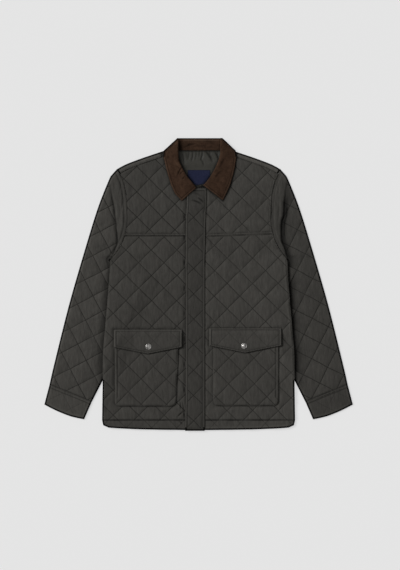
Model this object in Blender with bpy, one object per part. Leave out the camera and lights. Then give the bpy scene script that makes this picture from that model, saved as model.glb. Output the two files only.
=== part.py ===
"""A diamond-quilted field jacket, laid flat on its back with its front up.

Metres, +Z up, collar towards +Y. The origin is in the middle of the jacket's outline, on the surface that
it lies on. Left and right are the wearer's, so the left side is at +X.

Each piece that a maker would cut is one closed solid. A piece starts as a flat cutting in plan, has facets
cut in its upper side along its quilting, and is then given an underside and a top, both of them heights
worked out from the place in plan. The quilting is raised in the top only. The sleeves are tucked behind the
body, which rises over them; every layer of the body follows the same rise, so the layers keep one gap.
"""

import math
from collections import namedtuple

import bmesh
import bpy
from mathutils import Vector

MM = 0.001

# Cloth
WALL = 2.6 * MM  # quilted cloth pressed flat by its stitching
GAP = 0.3 * MM  # between two pieces
PUFF = 3.0 * MM  # how far a quilted square swells above its stitching
FIRM_PUFF = 0.9 * MM  # the same on a stiffened piece: cuff, flap
SQUARE = 50.3 * MM  # side of a quilted square
FACETS = 3  # facets along the side of a square
QUILT_REACH = 0.6  # the pattern's lines are drawn this far from its crossing
EDGE = 5.0 * MM  # width over which an edge or a seam rolls down
FOLD_DROP = 1.5 * MM  # how far an outer edge rolls down
SEAM_DROP = 0.9 * MM  # how far cloth dips to a seam
POINT_STEP = 17 * MM  # distance between points on a curved edge
CLOSE = 8.5 * MM  # points nearer than this to a corner are left out

# Facets
EXACT = 1e-6
SLACK = 0.1 * MM  # a corner this close to a line of quilting is taken as on it

# Layers, from the surface up
FRONT_UNDER = WALL + GAP
FRONT_TOP = FRONT_UNDER + WALL
ON_FRONT = FRONT_TOP + GAP

# Sleeve: a tube pressed flat, open at both ends
SLOT = 0.4 * MM
SLOT_EDGE = 2.8 * MM
SLOT_REACH = 6 * MM
SLEEVE_FLAT = 2 * WALL + SLOT
RISE = SLEEVE_FLAT + GAP
RAMP = 40 * MM  # width over which the body comes down beside the tucked sleeve
FOLD_DEPTH = 1.3 * MM  # the fold round the sleeve head, below the flat cloth

# Outline of the right half in plan, in millimetres
Station = namedtuple("Station", "name x y")
SHOULDER = (
    Station("edge of the collar", 104, 371.8),
    Station("inner shoulder", 160.6, 352.7),
    Station("outer shoulder", 204.3, 335.9),
    Station("shoulder tip", 229, 322.5),
)
FORWARD_SEAM = (
    Station("edge of the collar", 104, 357),
    Station("inner shoulder", 156, 339.4),
    Station("outer shoulder", 198.5, 323),
)
ARMHOLE = (
    Station("shoulder tip", 229, 322.5),
    Station("sleeve head", 213.5, 291),
    Station("upper yoke", 204.5, 255),
    Station("narrowest", 201, 200),
    Station("lower yoke", 203.5, 155),
    Station("front scoop", 219, 109.5),
    Station("underarm", 247.5, 68),
)
SIDE = (
    Station("underarm", 247.5, 68),
    Station("chest", 251, 10),
    Station("waist", 259.5, -95),
    Station("hip", 267.4, -189.5),
    Station("sleeve leaves the body", 268.4, -268.9),
    Station("hem stitching", 270.2, -380),
)
HEM = (
    Station("hem stitching", 270.2, -380),
    Station("corner", 267, -394),
    Station("beside the corner", 252, -399.5),
    Station("under the pocket", 160, -404.5),
    Station("centre", 0, -407),
)
SLEEVE_OUTER = (
    Station("shoulder tip", 229, 322.5),
    Station("head", 246.5, 302.3),
    Station("fold", 251.5, 292),
    Station("upper arm", 280.6, 218.3),
    Station("bicep", 312.3, 117.5),
    Station("elbow", 361, -50.5),
    Station("forearm", 403.2, -218.5),
    Station("cuff seam", 418, -283),
)
SLEEVE_FOLD = (
    Station("fold", 251.5, 292),
    Station("below the head", 248, 262),
    Station("upper yoke", 240.5, 215),
    Station("yoke seam", 231.5, 142),
    Station("above the underarm", 236, 100),
    Station("underarm", 247.5, 68),
)
CUFF_END = (
    Station("outer corner", 431.9, -336.1),
    Station("outer third", 399.6, -352.9),
    Station("inner third", 357, -369.7),
    Station("inner corner", 320.3, -377.6),
)
SLEEVE_BEND = Station("sleeve leaves the body", 268.4, -268.9)
CUFF_INNER = Station("cuff seam, inner end", 300, -331)
HEAD_TIP = 104  # below this the band round the sleeve head is too narrow to roll
TUCKED = Station("inner edge of the bicep, behind the body", 150, 20)
FORWARD_SEAM_AT_ARMHOLE = 309
STEP_UP = 0.4 * MM  # run of the step where the back comes over the shoulder

# Neck and collar, in millimetres from the middle of the neck
NECK_CENTRE = 3.3
NECKLINE = (
    Station("neck point", 62.5, 384),
    Station("side neck", 61.5, 365),
    Station("upper front", 56.5, 343),
    Station("middle front", 46, 319),
    Station("lower front", 34, 299),
    Station("end of the leaf", 21, 283.5),
)
NECK_BOTTOM = 271
NECK_SEAM = 374.8
COLLAR_FOLD = 409.4
FALL_EDGE = (
    Station("centre back", 0, 345),
    Station("inner", 38, 349),
    Station("outer", 72, 358.5),
    Station("shoulder", 99.7, 373.4),
)
FALL_TOP_HALF = 61.3
COLLAR_TURN = ((64.5, 388), (64.5, 401), (91, 377.8))  # where the fall turns over the shoulder into a leaf
LEAF_UNDER = FRONT_TOP + PUFF + GAP
LEAF_WALL = 3.4 * MM
LEAF_END = 0.55  # share of that wall at a leaf's two ends
# Sections across a leaf: its outer and inner ends for the two leaves, and how far it rolls up at the neck
LeafSection = namedtuple("LeafSection", "name left_outer left_inner right_outer right_inner roll")
LEAF_SECTIONS = (
    LeafSection("fold", (65, 409.4), (61.9, 409.4), (57.7, 409.4), (57.9, 406), 0.3),
    LeafSection("below the fold", (84, 391.4), (61.9, 396), (77, 391.4), (58, 394), 0.75),
    LeafSection("shoulder", (102.8, 373.4), (61.9, 379), (96.6, 373.4), (58, 379), 1.0),
    LeafSection("side neck", (105.8, 358), (61.6, 364), (98.3, 358), (57.6, 364), 1.0),
    LeafSection("upper front", (101.4, 326), (54.5, 344.5), (91.3, 326), (54.8, 344.5), 0.95),
    LeafSection("middle front", (95.8, 303), (43.7, 320.2), (84.5, 303), (44.2, 323.3), 0.85),
    LeafSection("lower front", (88.6, 279), (33, 302), (77.5, 279), (32.2, 302), 0.7),
    LeafSection("above the tip", (77.5, 254), (21.5, 286.5), (66.5, 254), (17, 284.5), 0.5),
    LeafSection("lower edge", (68.3, 234.8), (12.5, 277.6), (47.3, 233.7), (6.4, 270), 0.2),
)
# Profile across a leaf, from its outer edge to its roll at the neck
LeafPoint = namedtuple("LeafPoint", "across wall roll")
LEAF_PROFILE = (
    LeafPoint(0.0, 0.45, 0.0),
    LeafPoint(0.08, 1.0, 0.0),
    LeafPoint(0.35, 1.1, 0.12),
    LeafPoint(0.65, 1.1, 0.45),
    LeafPoint(0.86, 1.0, 0.95),
    LeafPoint(0.96, 0.9, 1.0),
    LeafPoint(1.0, 0.6, 0.75),
)
LEAF_ROLL = 8.0 * MM
StandLine = namedtuple("StandLine", "name y height")
STAND_LINES = (
    StandLine("neck seam", 374.8, 1.8),
    StandLine("above the seam", 378, 2.9),
    StandLine("middle", 392, 4.4),
    StandLine("below the fold", 404, 5.6),
    StandLine("fold", 409.4, 3.2),
)
STAND_LEFT_END = 61.6
STAND_RIGHT_END = 57.4

# Front closure, in millimetres across the jacket
PLACKET_RIGHT = -34.7
PLACKET_LEFT = 22.4
PLACKET_TOP = 268.7
PLACKET_END = -409.4
PLACKET_FLAT_TOP = 232
PLACKET_PUFF = 1.7 * MM
ZIP_MIDDLE = -6.1
ZIP_WIDTH = 8
ZIP_TOP = 262
ZIP_END = -398
HEM_STITCHING = -380
PRESS_MARGIN = 1.5
PAST_END = 30
PRESS_FADE = 6 * MM

# Each side's own lines, in millimetres; x is measured outwards from the middle
Half = namedtuple("Half", "name sign yoke_seam_centre yoke_seam_armhole zip_edge")
HALVES = (
    Half("left", 1, 136, 143.5, ZIP_MIDDLE + ZIP_WIDTH / 2),
    Half("right", -1, 137.8, 138.5, -(ZIP_MIDDLE - ZIP_WIDTH / 2)),
)
Pocket = namedtuple("Pocket", "inner outer bottom")
POCKETS = {
    "left": Pocket(inner=36.1, outer=225.7, bottom=-339.8),
    "right": Pocket(inner=59.6, outer=237.2, bottom=-340.9),
}
Flap = namedtuple("Flap", "inner outer top side point snap")
FLAPS = {
    "left": Flap(inner=29.5, outer=231.5, top=-122.4, side=-169.3, point=-189.7, snap=(127.1, -171.8)),
    "right": Flap(inner=46.5, outer=235.6, top=-126, side=-173.6, point=-192.5, snap=(140.3, -173.7)),
}
POCKET_CORNER = 14
POCKET_UNDER_FLAP = 19  # the pocket's top edge lies this far below the flap's
POCKET_WALL = 3.0 * MM
POCKET_PUFF = 2.4 * MM
FLAP_RAMP = 16
FLAP_UNDER = POCKET_WALL + POCKET_PUFF + GAP
SNAP_FLAT = 13 * MM

# A quilting pattern: where two of its lines cross, in millimetres, and how far it is turned
Quilt = namedtuple("Quilt", "x y turn")
SLEEVE_LEAN = 17.6
QUILTS = {
    "yoke_left": Quilt(121.8, 241.5, 0),
    "yoke_right": Quilt(-137.5, 224.4, 0),
    "front_left": Quilt(115.6, -32.6, 0),
    "front_right": Quilt(-203.0, -45.8, 0),
    "sleeve_left": Quilt(316.7, -207.9, SLEEVE_LEAN),
    "sleeve_right": Quilt(-314.7, -212.1, -SLEEVE_LEAN),
    "pocket_left": Quilt(84.3, -206.8, 0),
    "pocket_right": Quilt(-196.6, -228.9, 0),
    "placket": Quilt(-14.0, 187.5, 0),
}

# Snap cap, turned: radius and height, in millimetres
Ring = namedtuple("Ring", "name radius height")
SNAP_RINGS = (
    Ring("foot", 8.0, 0.0),
    Ring("rim", 8.2, 0.9),
    Ring("shoulder", 7.4, 1.5),
    Ring("groove", 6.2, 1.3),
    Ring("dome edge", 5.4, 1.9),
    Ring("dome", 3.0, 2.5),
)
SNAP_CROWN = 2.7
SNAP_SIDES = 16

LINING_WALL = 1.2 * MM
LABEL_WALL = 1.0 * MM
LABEL_EDGE = {"left": 32.2, "right": 30.8}
LABEL_TOP = 320.2
LABEL_MARGIN = 1.2
LABEL_LIFT = 6
# Gathers of the lining under the neck seam: place across, width, height and length down the cloth
Gather = namedtuple("Gather", "x width height length")
GATHERS = (
    Gather(-44, 9, 1.6, 34),
    Gather(-27, 7, 2.2, 26),
    Gather(-12, 8, 1.5, 30),
    Gather(6, 7, 2.4, 36),
    Gather(22, 8, 2.6, 40),
    Gather(41, 9, 1.7, 32),
)

GATHER_STEPS = (5, 12, 20, 30, 42)

CLOTH = (0.041, 0.039, 0.035)
CUFF_CLOTH = (0.038, 0.036, 0.032)
PLACKET_CLOTH = (0.034, 0.033, 0.029)
COLLAR_CLOTH = (0.036, 0.021, 0.014)
LINING_CLOTH = (0.038, 0.036, 0.031)
LABEL_CLOTH = (0.015, 0.019, 0.040)
NICKEL = (0.56, 0.55, 0.53)
ZIP_TAPE = (0.020, 0.019, 0.018)


# ---- plan geometry ----


def at(station, shift=0.0):
    """A station's place in metres."""
    return Vector(((station.x + shift) * MM, station.y * MM))


def curve(stations, shift=0.0, step=POINT_STEP):
    """Points along a smooth line through the stations."""
    points = [at(station, shift) for station in stations]
    before = 2 * points[0] - points[1]
    after = 2 * points[-1] - points[-2]
    line = [before, *points, after]
    found = []
    for a, b, c, d in zip(line, line[1:], line[2:], line[3:]):
        count = max(1, round((c - b).length / step))
        for k in range(count):
            t = k / count
            bend = 2 * a - 5 * b + 4 * c - d
            turn = 3 * b - a - 3 * c + d
            found.append((2 * b + (c - a) * t + bend * t * t + turn * t**3) / 2)
    return found + [points[-1]]


def straight(start, end, step=POINT_STEP):
    """Points from start to end, without the first."""
    count = max(1, round((end - start).length / step))
    return [start.lerp(end, k / count) for k in range(1, count + 1)]


def closed_loop(corners, step):
    """Points round a shape with straight sides."""
    return [p for start, end in zip(corners, corners[1:] + corners[:1]) for p in straight(start, end, step)]


def split_at(points, value, axis=1):
    """A line's part above a value of y (axis 1) or x (axis 0), and the rest. They share a point there."""
    for k, (p, q) in enumerate(zip(points, points[1:])):
        if p[axis] >= value > q[axis]:
            middle = p.lerp(q, (p[axis] - value) / (p[axis] - q[axis]))
            above = [point for point in points[: k + 1] if (point - middle).length > CLOSE]
            below = [point for point in points[k + 1 :] if (point - middle).length > CLOSE]
            return above + [middle], [middle] + below
    raise ValueError("the line does not reach that value")


def mirrored(points):
    return [Vector((-p.x, p.y)) for p in points]


def offset(*stretches):
    """The loop that stretches of an outline make, each moved inwards by its own amount."""
    edges = [(p, q, amount) for points, amount in stretches for p, q in zip(points, points[1:])]
    area = sum(p.x * q.y - p.y * q.x for p, q, _ in edges)
    moved = []
    for before, after in zip(edges[-1:] + edges[:-1], edges):
        first = outward(before[0], before[1]) * math.copysign(1, area)
        second = outward(after[0], after[1]) * math.copysign(1, area)
        turn = first.x * second.y - first.y * second.x
        if abs(turn) < 0.02:
            moved.append(after[0] + first * before[2])
        else:
            x = (before[2] * second.y - after[2] * first.y) / turn
            y = (after[2] * first.x - before[2] * second.x) / turn
            moved.append(after[0] + Vector((x, y)))
    return moved


def sided(points, sign):
    return mirrored(points) if sign < 0 else list(points)


def distance(points, x, y):
    """How far a place is from a line of points."""
    place = Vector((x, y))
    nearest = math.inf
    for p, q in zip(points, points[1:]):
        along = q - p
        t = min(1.0, max(0.0, (place - p).dot(along) / along.length_squared))
        nearest = min(nearest, (p + along * t - place).length)
    return nearest


def inside(loop, x, y):
    """Whether a place is within a closed loop."""
    crossings = 0
    for p, q in zip(loop, loop[1:] + loop[:1]):
        if (p.y > y) != (q.y > y) and x < p.x + (q.x - p.x) * (y - p.y) / (q.y - p.y):
            crossings += 1
    return crossings % 2 == 1


def arc(x, y, radius, start, end, count=3):
    """Points round a corner, from one angle to another. Sizes are in millimetres."""
    angles = [math.radians(start + (end - start) * k / count) for k in range(count + 1)]
    return [Vector((x + radius * math.cos(t), y + radius * math.sin(t))) * MM for t in angles]


def clamp(value):
    return min(1.0, max(0.0, value))


# ---- the rise of the body over the tucked sleeves ----

Line = namedtuple("Line", "point along")


def outward(start, end):
    """The normal of a line on its left."""
    along = (end - start).normalized()
    return Vector((-along.y, along.x))


TUCK_LOW = at(SLEEVE_BEND)
TUCK_IN = at(TUCKED)
TUCK_HIGH = at(ARMHOLE[-1])
INNER_NORMAL = outward(TUCK_IN, TUCK_LOW) * -1
UPPER_NORMAL = outward(TUCK_IN, TUCK_HIGH)


def rise(x, y):
    """How far the body is lifted by the sleeve behind it."""
    place = Vector((abs(x), y)) - TUCK_IN
    outside = max(place.dot(INNER_NORMAL), place.dot(UPPER_NORMAL))
    return RISE * clamp(1 - outside / RAMP)


def rise_lines():
    """The lines along which the rise changes its slope."""
    for sign in (1, -1):
        for normal, end in ((INNER_NORMAL, TUCK_LOW), (UPPER_NORMAL, TUCK_HIGH)):
            for shift in (0, RAMP):
                point, other = sided([TUCK_IN + normal * shift, end + normal * shift], sign)
                yield Line(point, other - point)
        corner, along = sided([TUCK_IN, INNER_NORMAL + UPPER_NORMAL], sign)
        yield Line(corner, along)


# ---- quilting ----


def swell(t):
    """Height of a quilted square across one of its two directions."""
    return math.sin(math.pi * (t % 1.0)) ** 0.6


def quilting(quilt, x, y):
    """Height of the quilting at a place, from 0 on its lines to 1."""
    place = Vector((x - quilt.x * MM, y - quilt.y * MM))
    height = 1.0
    for diagonal in (45, 135):
        angle = math.radians(quilt.turn + diagonal)
        height *= swell(place.dot(Vector((math.cos(angle), math.sin(angle)))) / SQUARE)
    return height


def quilt_lines(quilt):
    """The pattern's lines, and the ones between them that round each square."""
    crossing = Vector((quilt.x * MM, quilt.y * MM))
    spacing = SQUARE / FACETS
    count = int(QUILT_REACH / spacing)
    for diagonal in (45, 135):
        angle = math.radians(quilt.turn + diagonal)
        normal = Vector((math.cos(angle), math.sin(angle)))
        for k in range(-count, count + 1):
            yield Line(crossing + normal * (k * spacing), Vector((-normal.y, normal.x)))


# ---- cuttings of cloth ----


def nearest(verts, place):
    return min(verts, key=lambda vert: (vert.co - place).length_squared)


class Cutting:
    """A flat cutting of cloth in plan, which is faceted and then made into a solid.

    Its upper side has a strip along each rolled loop's edges, and is faceted inside that strip by the
    quilting. Its underside stays plain. Both have the same outline.
    """

    def __init__(self, rolled, plain=(), edge=EDGE, trim=GAP / 2):
        self.upper = bmesh.new()
        self.under = bmesh.new()
        self.open = self.upper.faces.layers.int.new("open to quilting")
        for mesh in (self.upper, self.under):
            corners = {}
            faces = [self.face(mesh, corners, loop) for loop in rolled]
            for loop in plain:
                self.face(mesh, corners, loop)
            self.trim(mesh, trim)
            if edge and mesh is self.upper:
                bmesh.ops.inset_individual(mesh, faces=faces, thickness=edge, use_even_offset=True)
                for face in faces:
                    face[self.open] = 1

    def face(self, mesh, corners, loop):
        """Adds a loop as a face that looks up, sharing the corners that are already there."""
        verts = []
        for point in loop:
            key = (round(point.x, 6), round(point.y, 6))
            if key not in corners:
                corners[key] = mesh.verts.new((point.x, point.y, 0))
            verts.append(corners[key])
        face = mesh.faces.new(verts)
        face.normal_update()
        if face.normal.z < 0:
            face.normal_flip()
        return face

    def trim(self, mesh, amount):
        """Moves the outer edge in, so that two cuttings that share a line stay a gap apart."""
        moves = {}
        for edge in mesh.edges:
            if edge.is_boundary:
                loop = edge.link_loops[0]
                along = loop.link_loop_next.vert.co - loop.vert.co
                inward = Vector((-along.y, along.x, 0)).normalized()
                for vert in edge.verts:
                    moves.setdefault(vert, []).append(inward)
        for vert, (first, second) in moves.items():
            vert.co += (first + second) * (amount / (1 + first.dot(second)))

    def cut(self, mesh, faces, lines, slack=EXACT):
        """Cuts faces of one side along lines. A corner within slack of a line counts as on it."""
        for line in lines:
            chosen = faces()
            edges = {edge for face in chosen for edge in face.edges}
            verts = {vert for face in chosen for vert in face.verts}
            bmesh.ops.bisect_plane(
                mesh,
                geom=[*verts, *edges, *chosen],
                dist=slack,
                plane_co=(line.point.x, line.point.y, 0),
                plane_no=(-line.along.y, line.along.x, 0),
            )

    def quilted_faces(self):
        return [face for face in self.upper.faces if face[self.open]]

    def plain_faces(self):
        return [face for face in self.upper.faces if not face[self.open]]

    def divide(self, lines, everywhere=True):
        """Cuts both sides along lines, or of the upper side only what isn't quilted."""
        lines = list(lines)
        self.cut(self.under, lambda: self.under.faces[:], lines)
        self.cut(self.upper, lambda: self.upper.faces[:] if everywhere else self.plain_faces(), lines)

    def press(self, press):
        """Keeps a rectangle of the upper side free of quilting, faceted only where the rise bends it."""
        self.cut(self.upper, self.quilted_faces, press.lines())
        spare = [edge for edge in self.upper.edges if press.spare(edge)]
        bmesh.ops.dissolve_edges(self.upper, edges=spare, use_verts=False)
        self.free(press)
        self.cut(self.upper, self.plain_faces, rise_lines())

    def free(self, press):
        """Takes the faces inside a rectangle out of the quilting."""
        for face in self.quilted_faces():
            if press.clear(*face.calc_center_median().xy) == 0:
                face[self.open] = 0

    def quilt(self, quilt):
        """Facets the upper side inside its rolled edges along a quilting pattern."""
        self.cut(self.upper, self.quilted_faces, quilt_lines(quilt), SLACK)

    def solid(self, name, under, top, material):
        """Joins both sides, each at its own height, and adds the solid as an object."""
        mesh = self.upper
        rim = [edge.link_loops[0] for edge in mesh.edges if edge.is_boundary]
        lower = {vert: mesh.verts.new(vert.co) for vert in self.under.verts}
        low_rim = [lower[vert] for vert in self.under.verts if vert.is_boundary]
        for loop in rim:
            start, end = loop.vert, loop.link_loop_next.vert
            below = [nearest(low_rim, vert.co) for vert in (start, end)]
            mesh.faces.new((end, start, *below))
        for face in self.under.faces:
            mesh.faces.new([lower[vert] for vert in reversed(face.verts)])
        beneath = set(lower.values())
        for vert in mesh.verts:
            height = under if vert in beneath else top
            vert.co.z = height(vert.co.x, vert.co.y)
        self.under.free()
        return add(name, mesh, material)


def upright(x):
    return Line(Vector((x * MM, 0)), Vector((0, 1)))


def level(y):
    return Line(Vector((0, y * MM)), Vector((1, 0)))


class Press:
    """A rectangle that a piece sewn on top presses flat, in millimetres."""

    def __init__(self, x0, x1, y0, y1):
        self.x = sorted((x0, x1))
        self.y = sorted((y0, y1))

    def lines(self):
        return [upright(x) for x in self.x] + [level(y) for y in self.y]

    def side(self, sign):
        """The rectangle's outer side on one half of the jacket."""
        return upright(self.x[1] if sign > 0 else self.x[0])

    def spare(self, edge):
        """Whether an edge only carries one of the rectangle's lines on, beyond the rectangle."""
        first, second = (vert.co / MM for vert in edge.verts)
        middle = (first + second) / 2
        for x in self.x:
            if abs(first.x - x) < 0.01 and abs(second.x - x) < 0.01:
                return not self.y[0] < middle.y < self.y[1]
        low = self.y[0]
        if abs(first.y - low) < 0.01 and abs(second.y - low) < 0.01:
            return not self.x[0] < middle.x < self.x[1]
        return False

    def clear(self, x, y):
        """0 under the piece, 1 well outside it."""
        across = max(self.x[0] * MM - x, x - self.x[1] * MM, 0)
        along = max(self.y[0] * MM - y, y - self.y[1] * MM, 0)
        return clamp(max(across, along) / PRESS_FADE)


Roll = namedtuple("Roll", "points drop")


def roll_down(rolls, x, y):
    """How much of the swelling is left near the edges, and how far the edge itself rolls down."""
    left = 1.0
    drop = 0.0
    for roll in rolls:
        near = clamp(distance(roll.points, x, y) / EDGE)
        left = min(left, near)
        drop = max(drop, roll.drop * (1 - near))
    return left, drop


def quilted_top(base, quilt, puff, rolls, presses=(), climb=rise):
    """The height of a quilted piece's top at any place."""

    def top(x, y):
        left, drop = roll_down(rolls, x, y)
        for press in presses:
            left = min(left, press.clear(x, y))
        return base + climb(x, y) + puff * left * quilting(quilt, x, y) - drop

    return top


def resting(base, climb=rise):
    return lambda x, y: base + climb(x, y)


def flat(x, y):
    return 0.0


# ---- objects ----


def clear_scene():
    for item in list(bpy.data.objects):
        bpy.data.objects.remove(item, do_unlink=True)


def cloth(name, colour, roughness=0.85, metallic=0.0):
    material = bpy.data.materials.new(name)
    material.use_nodes = True
    surface = material.node_tree.nodes["Principled BSDF"]
    surface.inputs["Base Color"].default_value = (*colour, 1.0)
    surface.inputs["Roughness"].default_value = roughness
    surface.inputs["Metallic"].default_value = metallic
    material.diffuse_color = (*colour, 1.0)
    return material


def add(name, mesh, material):
    """Adds a closed mesh as an object, faces out and shaded smooth over its soft forms."""
    bmesh.ops.recalc_face_normals(mesh, faces=mesh.faces[:])
    bmesh.ops.triangulate(mesh, faces=mesh.faces[:], quad_method="BEAUTY", ngon_method="BEAUTY")
    data = bpy.data.meshes.new(name)
    mesh.to_mesh(data)
    mesh.free()
    data.materials.append(material)
    data.shade_smooth()
    data.set_sharp_from_angle(angle=math.radians(35))
    item = bpy.data.objects.new(name, data)
    bpy.context.scene.collection.objects.link(item)
    return item


def helper(item):
    """Marks an object as a tool of another one."""
    item.hide_render = True
    item.display_type = "WIRE"
    return item


def combine(item, other, operation):
    modifier = item.modifiers.new(other.name, "BOOLEAN")
    modifier.operation = operation
    modifier.solver = "EXACT"
    modifier.object = helper(other)


def prism(name, loop, low, high, material):
    cutting = Cutting([], [loop], edge=0, trim=0)
    return cutting.solid(name, lambda x, y: low, lambda x, y: high, material)


# ---- the body ----


def armhole_parts(half):
    """The armhole's stretches on the shoulder strip, on the yoke and on the lower front."""
    strip, rest = split_at(curve(ARMHOLE), FORWARD_SEAM_AT_ARMHOLE * MM)
    yoke, front = split_at(rest, half.yoke_seam_armhole * MM)
    return strip, yoke, front


def forward_seam(strip):
    """The seam where the back, come over the shoulder, meets the yoke."""
    stations = [*FORWARD_SEAM, Station("armhole", strip[-1].x / MM, strip[-1].y / MM)]
    return curve(stations)


def step_line(seam, shoulder_next, armhole_next):
    """The line, a short step inside the strip, at which the back has risen to the height of the front."""
    line = []
    for before, point, after in zip(seam, seam[1:], seam[2:]):
        line.append(point + outward(before, after) * STEP_UP)
    line[0].x += STEP_UP
    start, end = seam[0], seam[-1]
    along = (shoulder_next - start).normalized()
    first = start + Vector((1, along.y)) * STEP_UP
    last = end + (armhole_next - end).normalized() * STEP_UP
    return [first, *line, last]


def neckline(half):
    line = curve(NECKLINE, half.sign * NECK_CENTRE, step=20 * MM)
    return line + [Vector((half.zip_edge * MM, NECK_BOTTOM * MM))]


def placket_press():
    x0, x1 = PLACKET_RIGHT - PRESS_MARGIN, PLACKET_LEFT + PRESS_MARGIN
    return Press(x0, x1, PLACKET_END - PAST_END, PLACKET_TOP + PAST_END)


def pocket_press(half):
    pocket = POCKETS[half.name]
    flap = FLAPS[half.name]
    inner = min(pocket.inner, flap.inner) - PRESS_MARGIN
    outer = max(pocket.outer, flap.outer) + PRESS_MARGIN
    low, high = pocket.bottom - PRESS_MARGIN, flap.top + PRESS_MARGIN
    return Press(half.sign * inner, half.sign * outer, low, high)


def make_back(material):
    """One panel. Over each shoulder it comes forward as a strip that lies on it, up to the yoke's seam."""
    strips = []
    loops = []
    steps = []
    outline = []
    for half in HALVES:
        strip_armhole, yoke_armhole, front_armhole = armhole_parts(half)
        shoulder = curve(SHOULDER)
        seam = [shoulder[0], *forward_seam(strip_armhole)]
        raised = step_line(seam, shoulder[1], strip_armhole[-2])
        strip = shoulder[1:] + strip_armhole[1:-1] + raised[::-1]
        loops.append(sided(strip, half.sign))
        for k in range(len(seam) - 1):
            steps.append(sided([seam[k], seam[k + 1], raised[k + 1], raised[k]], half.sign))
        strips.append((sided(strip, half.sign), sided(seam, half.sign)))
        edge = seam + yoke_armhole[1:] + front_armhole[1:] + curve(SIDE)[1:] + curve(HEM)[1:-1]
        outline.append(sided(edge, half.sign))
    fall = fall_edge()
    body = outline[0] + [Vector((0, HEM[-1].y * MM))] + outline[1][::-1] + fall
    shoulder_edge = curve(SHOULDER) + armhole_parts(HALVES[0])[0][1:]
    folds = [Roll(sided(shoulder_edge, half.sign), FOLD_DROP) for half in HALVES]
    seams = [Roll(seam, SEAM_DROP) for _, seam in strips]

    def top(x, y):
        for strip, seam in strips:
            if distance(seam, x, y) > STEP_UP / 2 and inside(strip, x, y):
                left, drop = roll_down(folds + seams, x, y)
                return FRONT_TOP + FIRM_PUFF * left - drop
        return WALL + rise(x, y)

    cutting = Cutting(loops, [body, *steps])
    cutting.divide(rise_lines(), everywhere=False)
    return cutting.solid("back", rise, top, material)


def make_yoke(half, material):
    name = "yoke_" + half.name
    strip_armhole, armhole, _ = armhole_parts(half)
    neck = neckline(half)
    shoulder = curve(SHOULDER)[:1]
    seam = forward_seam(strip_armhole)
    centre = Vector((half.zip_edge * MM, half.yoke_seam_centre * MM))
    yoke_seam = [armhole[-1], *straight(armhole[-1], centre, 40 * MM)]
    front_edge = straight(centre, neck[-1], 60 * MM)
    loop = neck[:1] + shoulder + seam + armhole[1:] + yoke_seam[1:] + front_edge + neck[-2:0:-1]
    rolls = [Roll(sided(line, half.sign), SEAM_DROP) for line in (seam, armhole, yoke_seam, neck)]
    press = placket_press()
    cutting = Cutting([sided(loop, half.sign)])
    cutting.divide(rise_lines(), everywhere=False)
    cutting.divide([press.side(half.sign)])
    cutting.free(press)
    cutting.quilt(QUILTS[name])
    top = quilted_top(FRONT_TOP, QUILTS[name], PUFF, rolls, [press])
    return cutting.solid(name, resting(FRONT_UNDER), top, material)


def make_front(half, material):
    """The lower front, from the yoke seam to the hem, with the hem's stitched band."""
    name = "front_" + half.name
    _, _, armhole = armhole_parts(half)
    side = curve(SIDE)
    hem = [p for p in curve(HEM) if p.x > half.zip_edge * MM + POINT_STEP]
    hem.append(Vector((half.zip_edge * MM, HEM[-1].y * MM)))
    centre_top = Vector((half.zip_edge * MM, half.yoke_seam_centre * MM))
    centre_low = Vector((half.zip_edge * MM, HEM_STITCHING * MM))
    yoke_seam = [centre_top, *straight(centre_top, armhole[0], 40 * MM)]
    stitching = [side[-1], *straight(side[-1], centre_low, 60 * MM)]
    front_edge = straight(centre_low, centre_top, 60 * MM)
    main = yoke_seam + armhole[1:] + side[1:] + stitching[1:] + front_edge[:-1]
    band = hem + stitching[::-1][:-1]
    rolls = [Roll(sided(line, half.sign), SEAM_DROP) for line in (yoke_seam, armhole, stitching)]
    rolls += [Roll(sided(line, half.sign), FOLD_DROP) for line in (side, hem)]
    presses = [placket_press(), pocket_press(half)]
    cutting = Cutting([sided(main, half.sign), sided(band, half.sign)])
    cutting.divide(rise_lines(), everywhere=False)
    cutting.divide([presses[0].side(half.sign)])
    cutting.free(presses[0])
    cutting.press(presses[1])
    cutting.quilt(QUILTS[name])
    top = quilted_top(FRONT_TOP, QUILTS[name], PUFF, rolls, presses)
    return cutting.solid(name, resting(FRONT_UNDER), top, material)


def make_zip(material):
    """The closure under the placket, tapes and teeth in one plain strip."""
    x0, x1 = (ZIP_MIDDLE - ZIP_WIDTH / 2) * MM, (ZIP_MIDDLE + ZIP_WIDTH / 2) * MM
    y0, y1 = ZIP_END * MM, ZIP_TOP * MM
    loop = [Vector((x0, y0)), Vector((x1, y0)), Vector((x1, y1)), Vector((x0, y1))]
    return prism("front_zip", shrunk(loop), FRONT_UNDER, FRONT_TOP, material)


def shrunk(loop):
    """A rectangle half a gap smaller all round."""
    middle = sum(loop, Vector((0, 0))) / len(loop)
    half_gap = GAP / 2
    moves = [(math.copysign(half_gap, middle.x - p.x), math.copysign(half_gap, middle.y - p.y)) for p in loop]
    return [p + Vector(move) for p, move in zip(loop, moves)]


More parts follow.
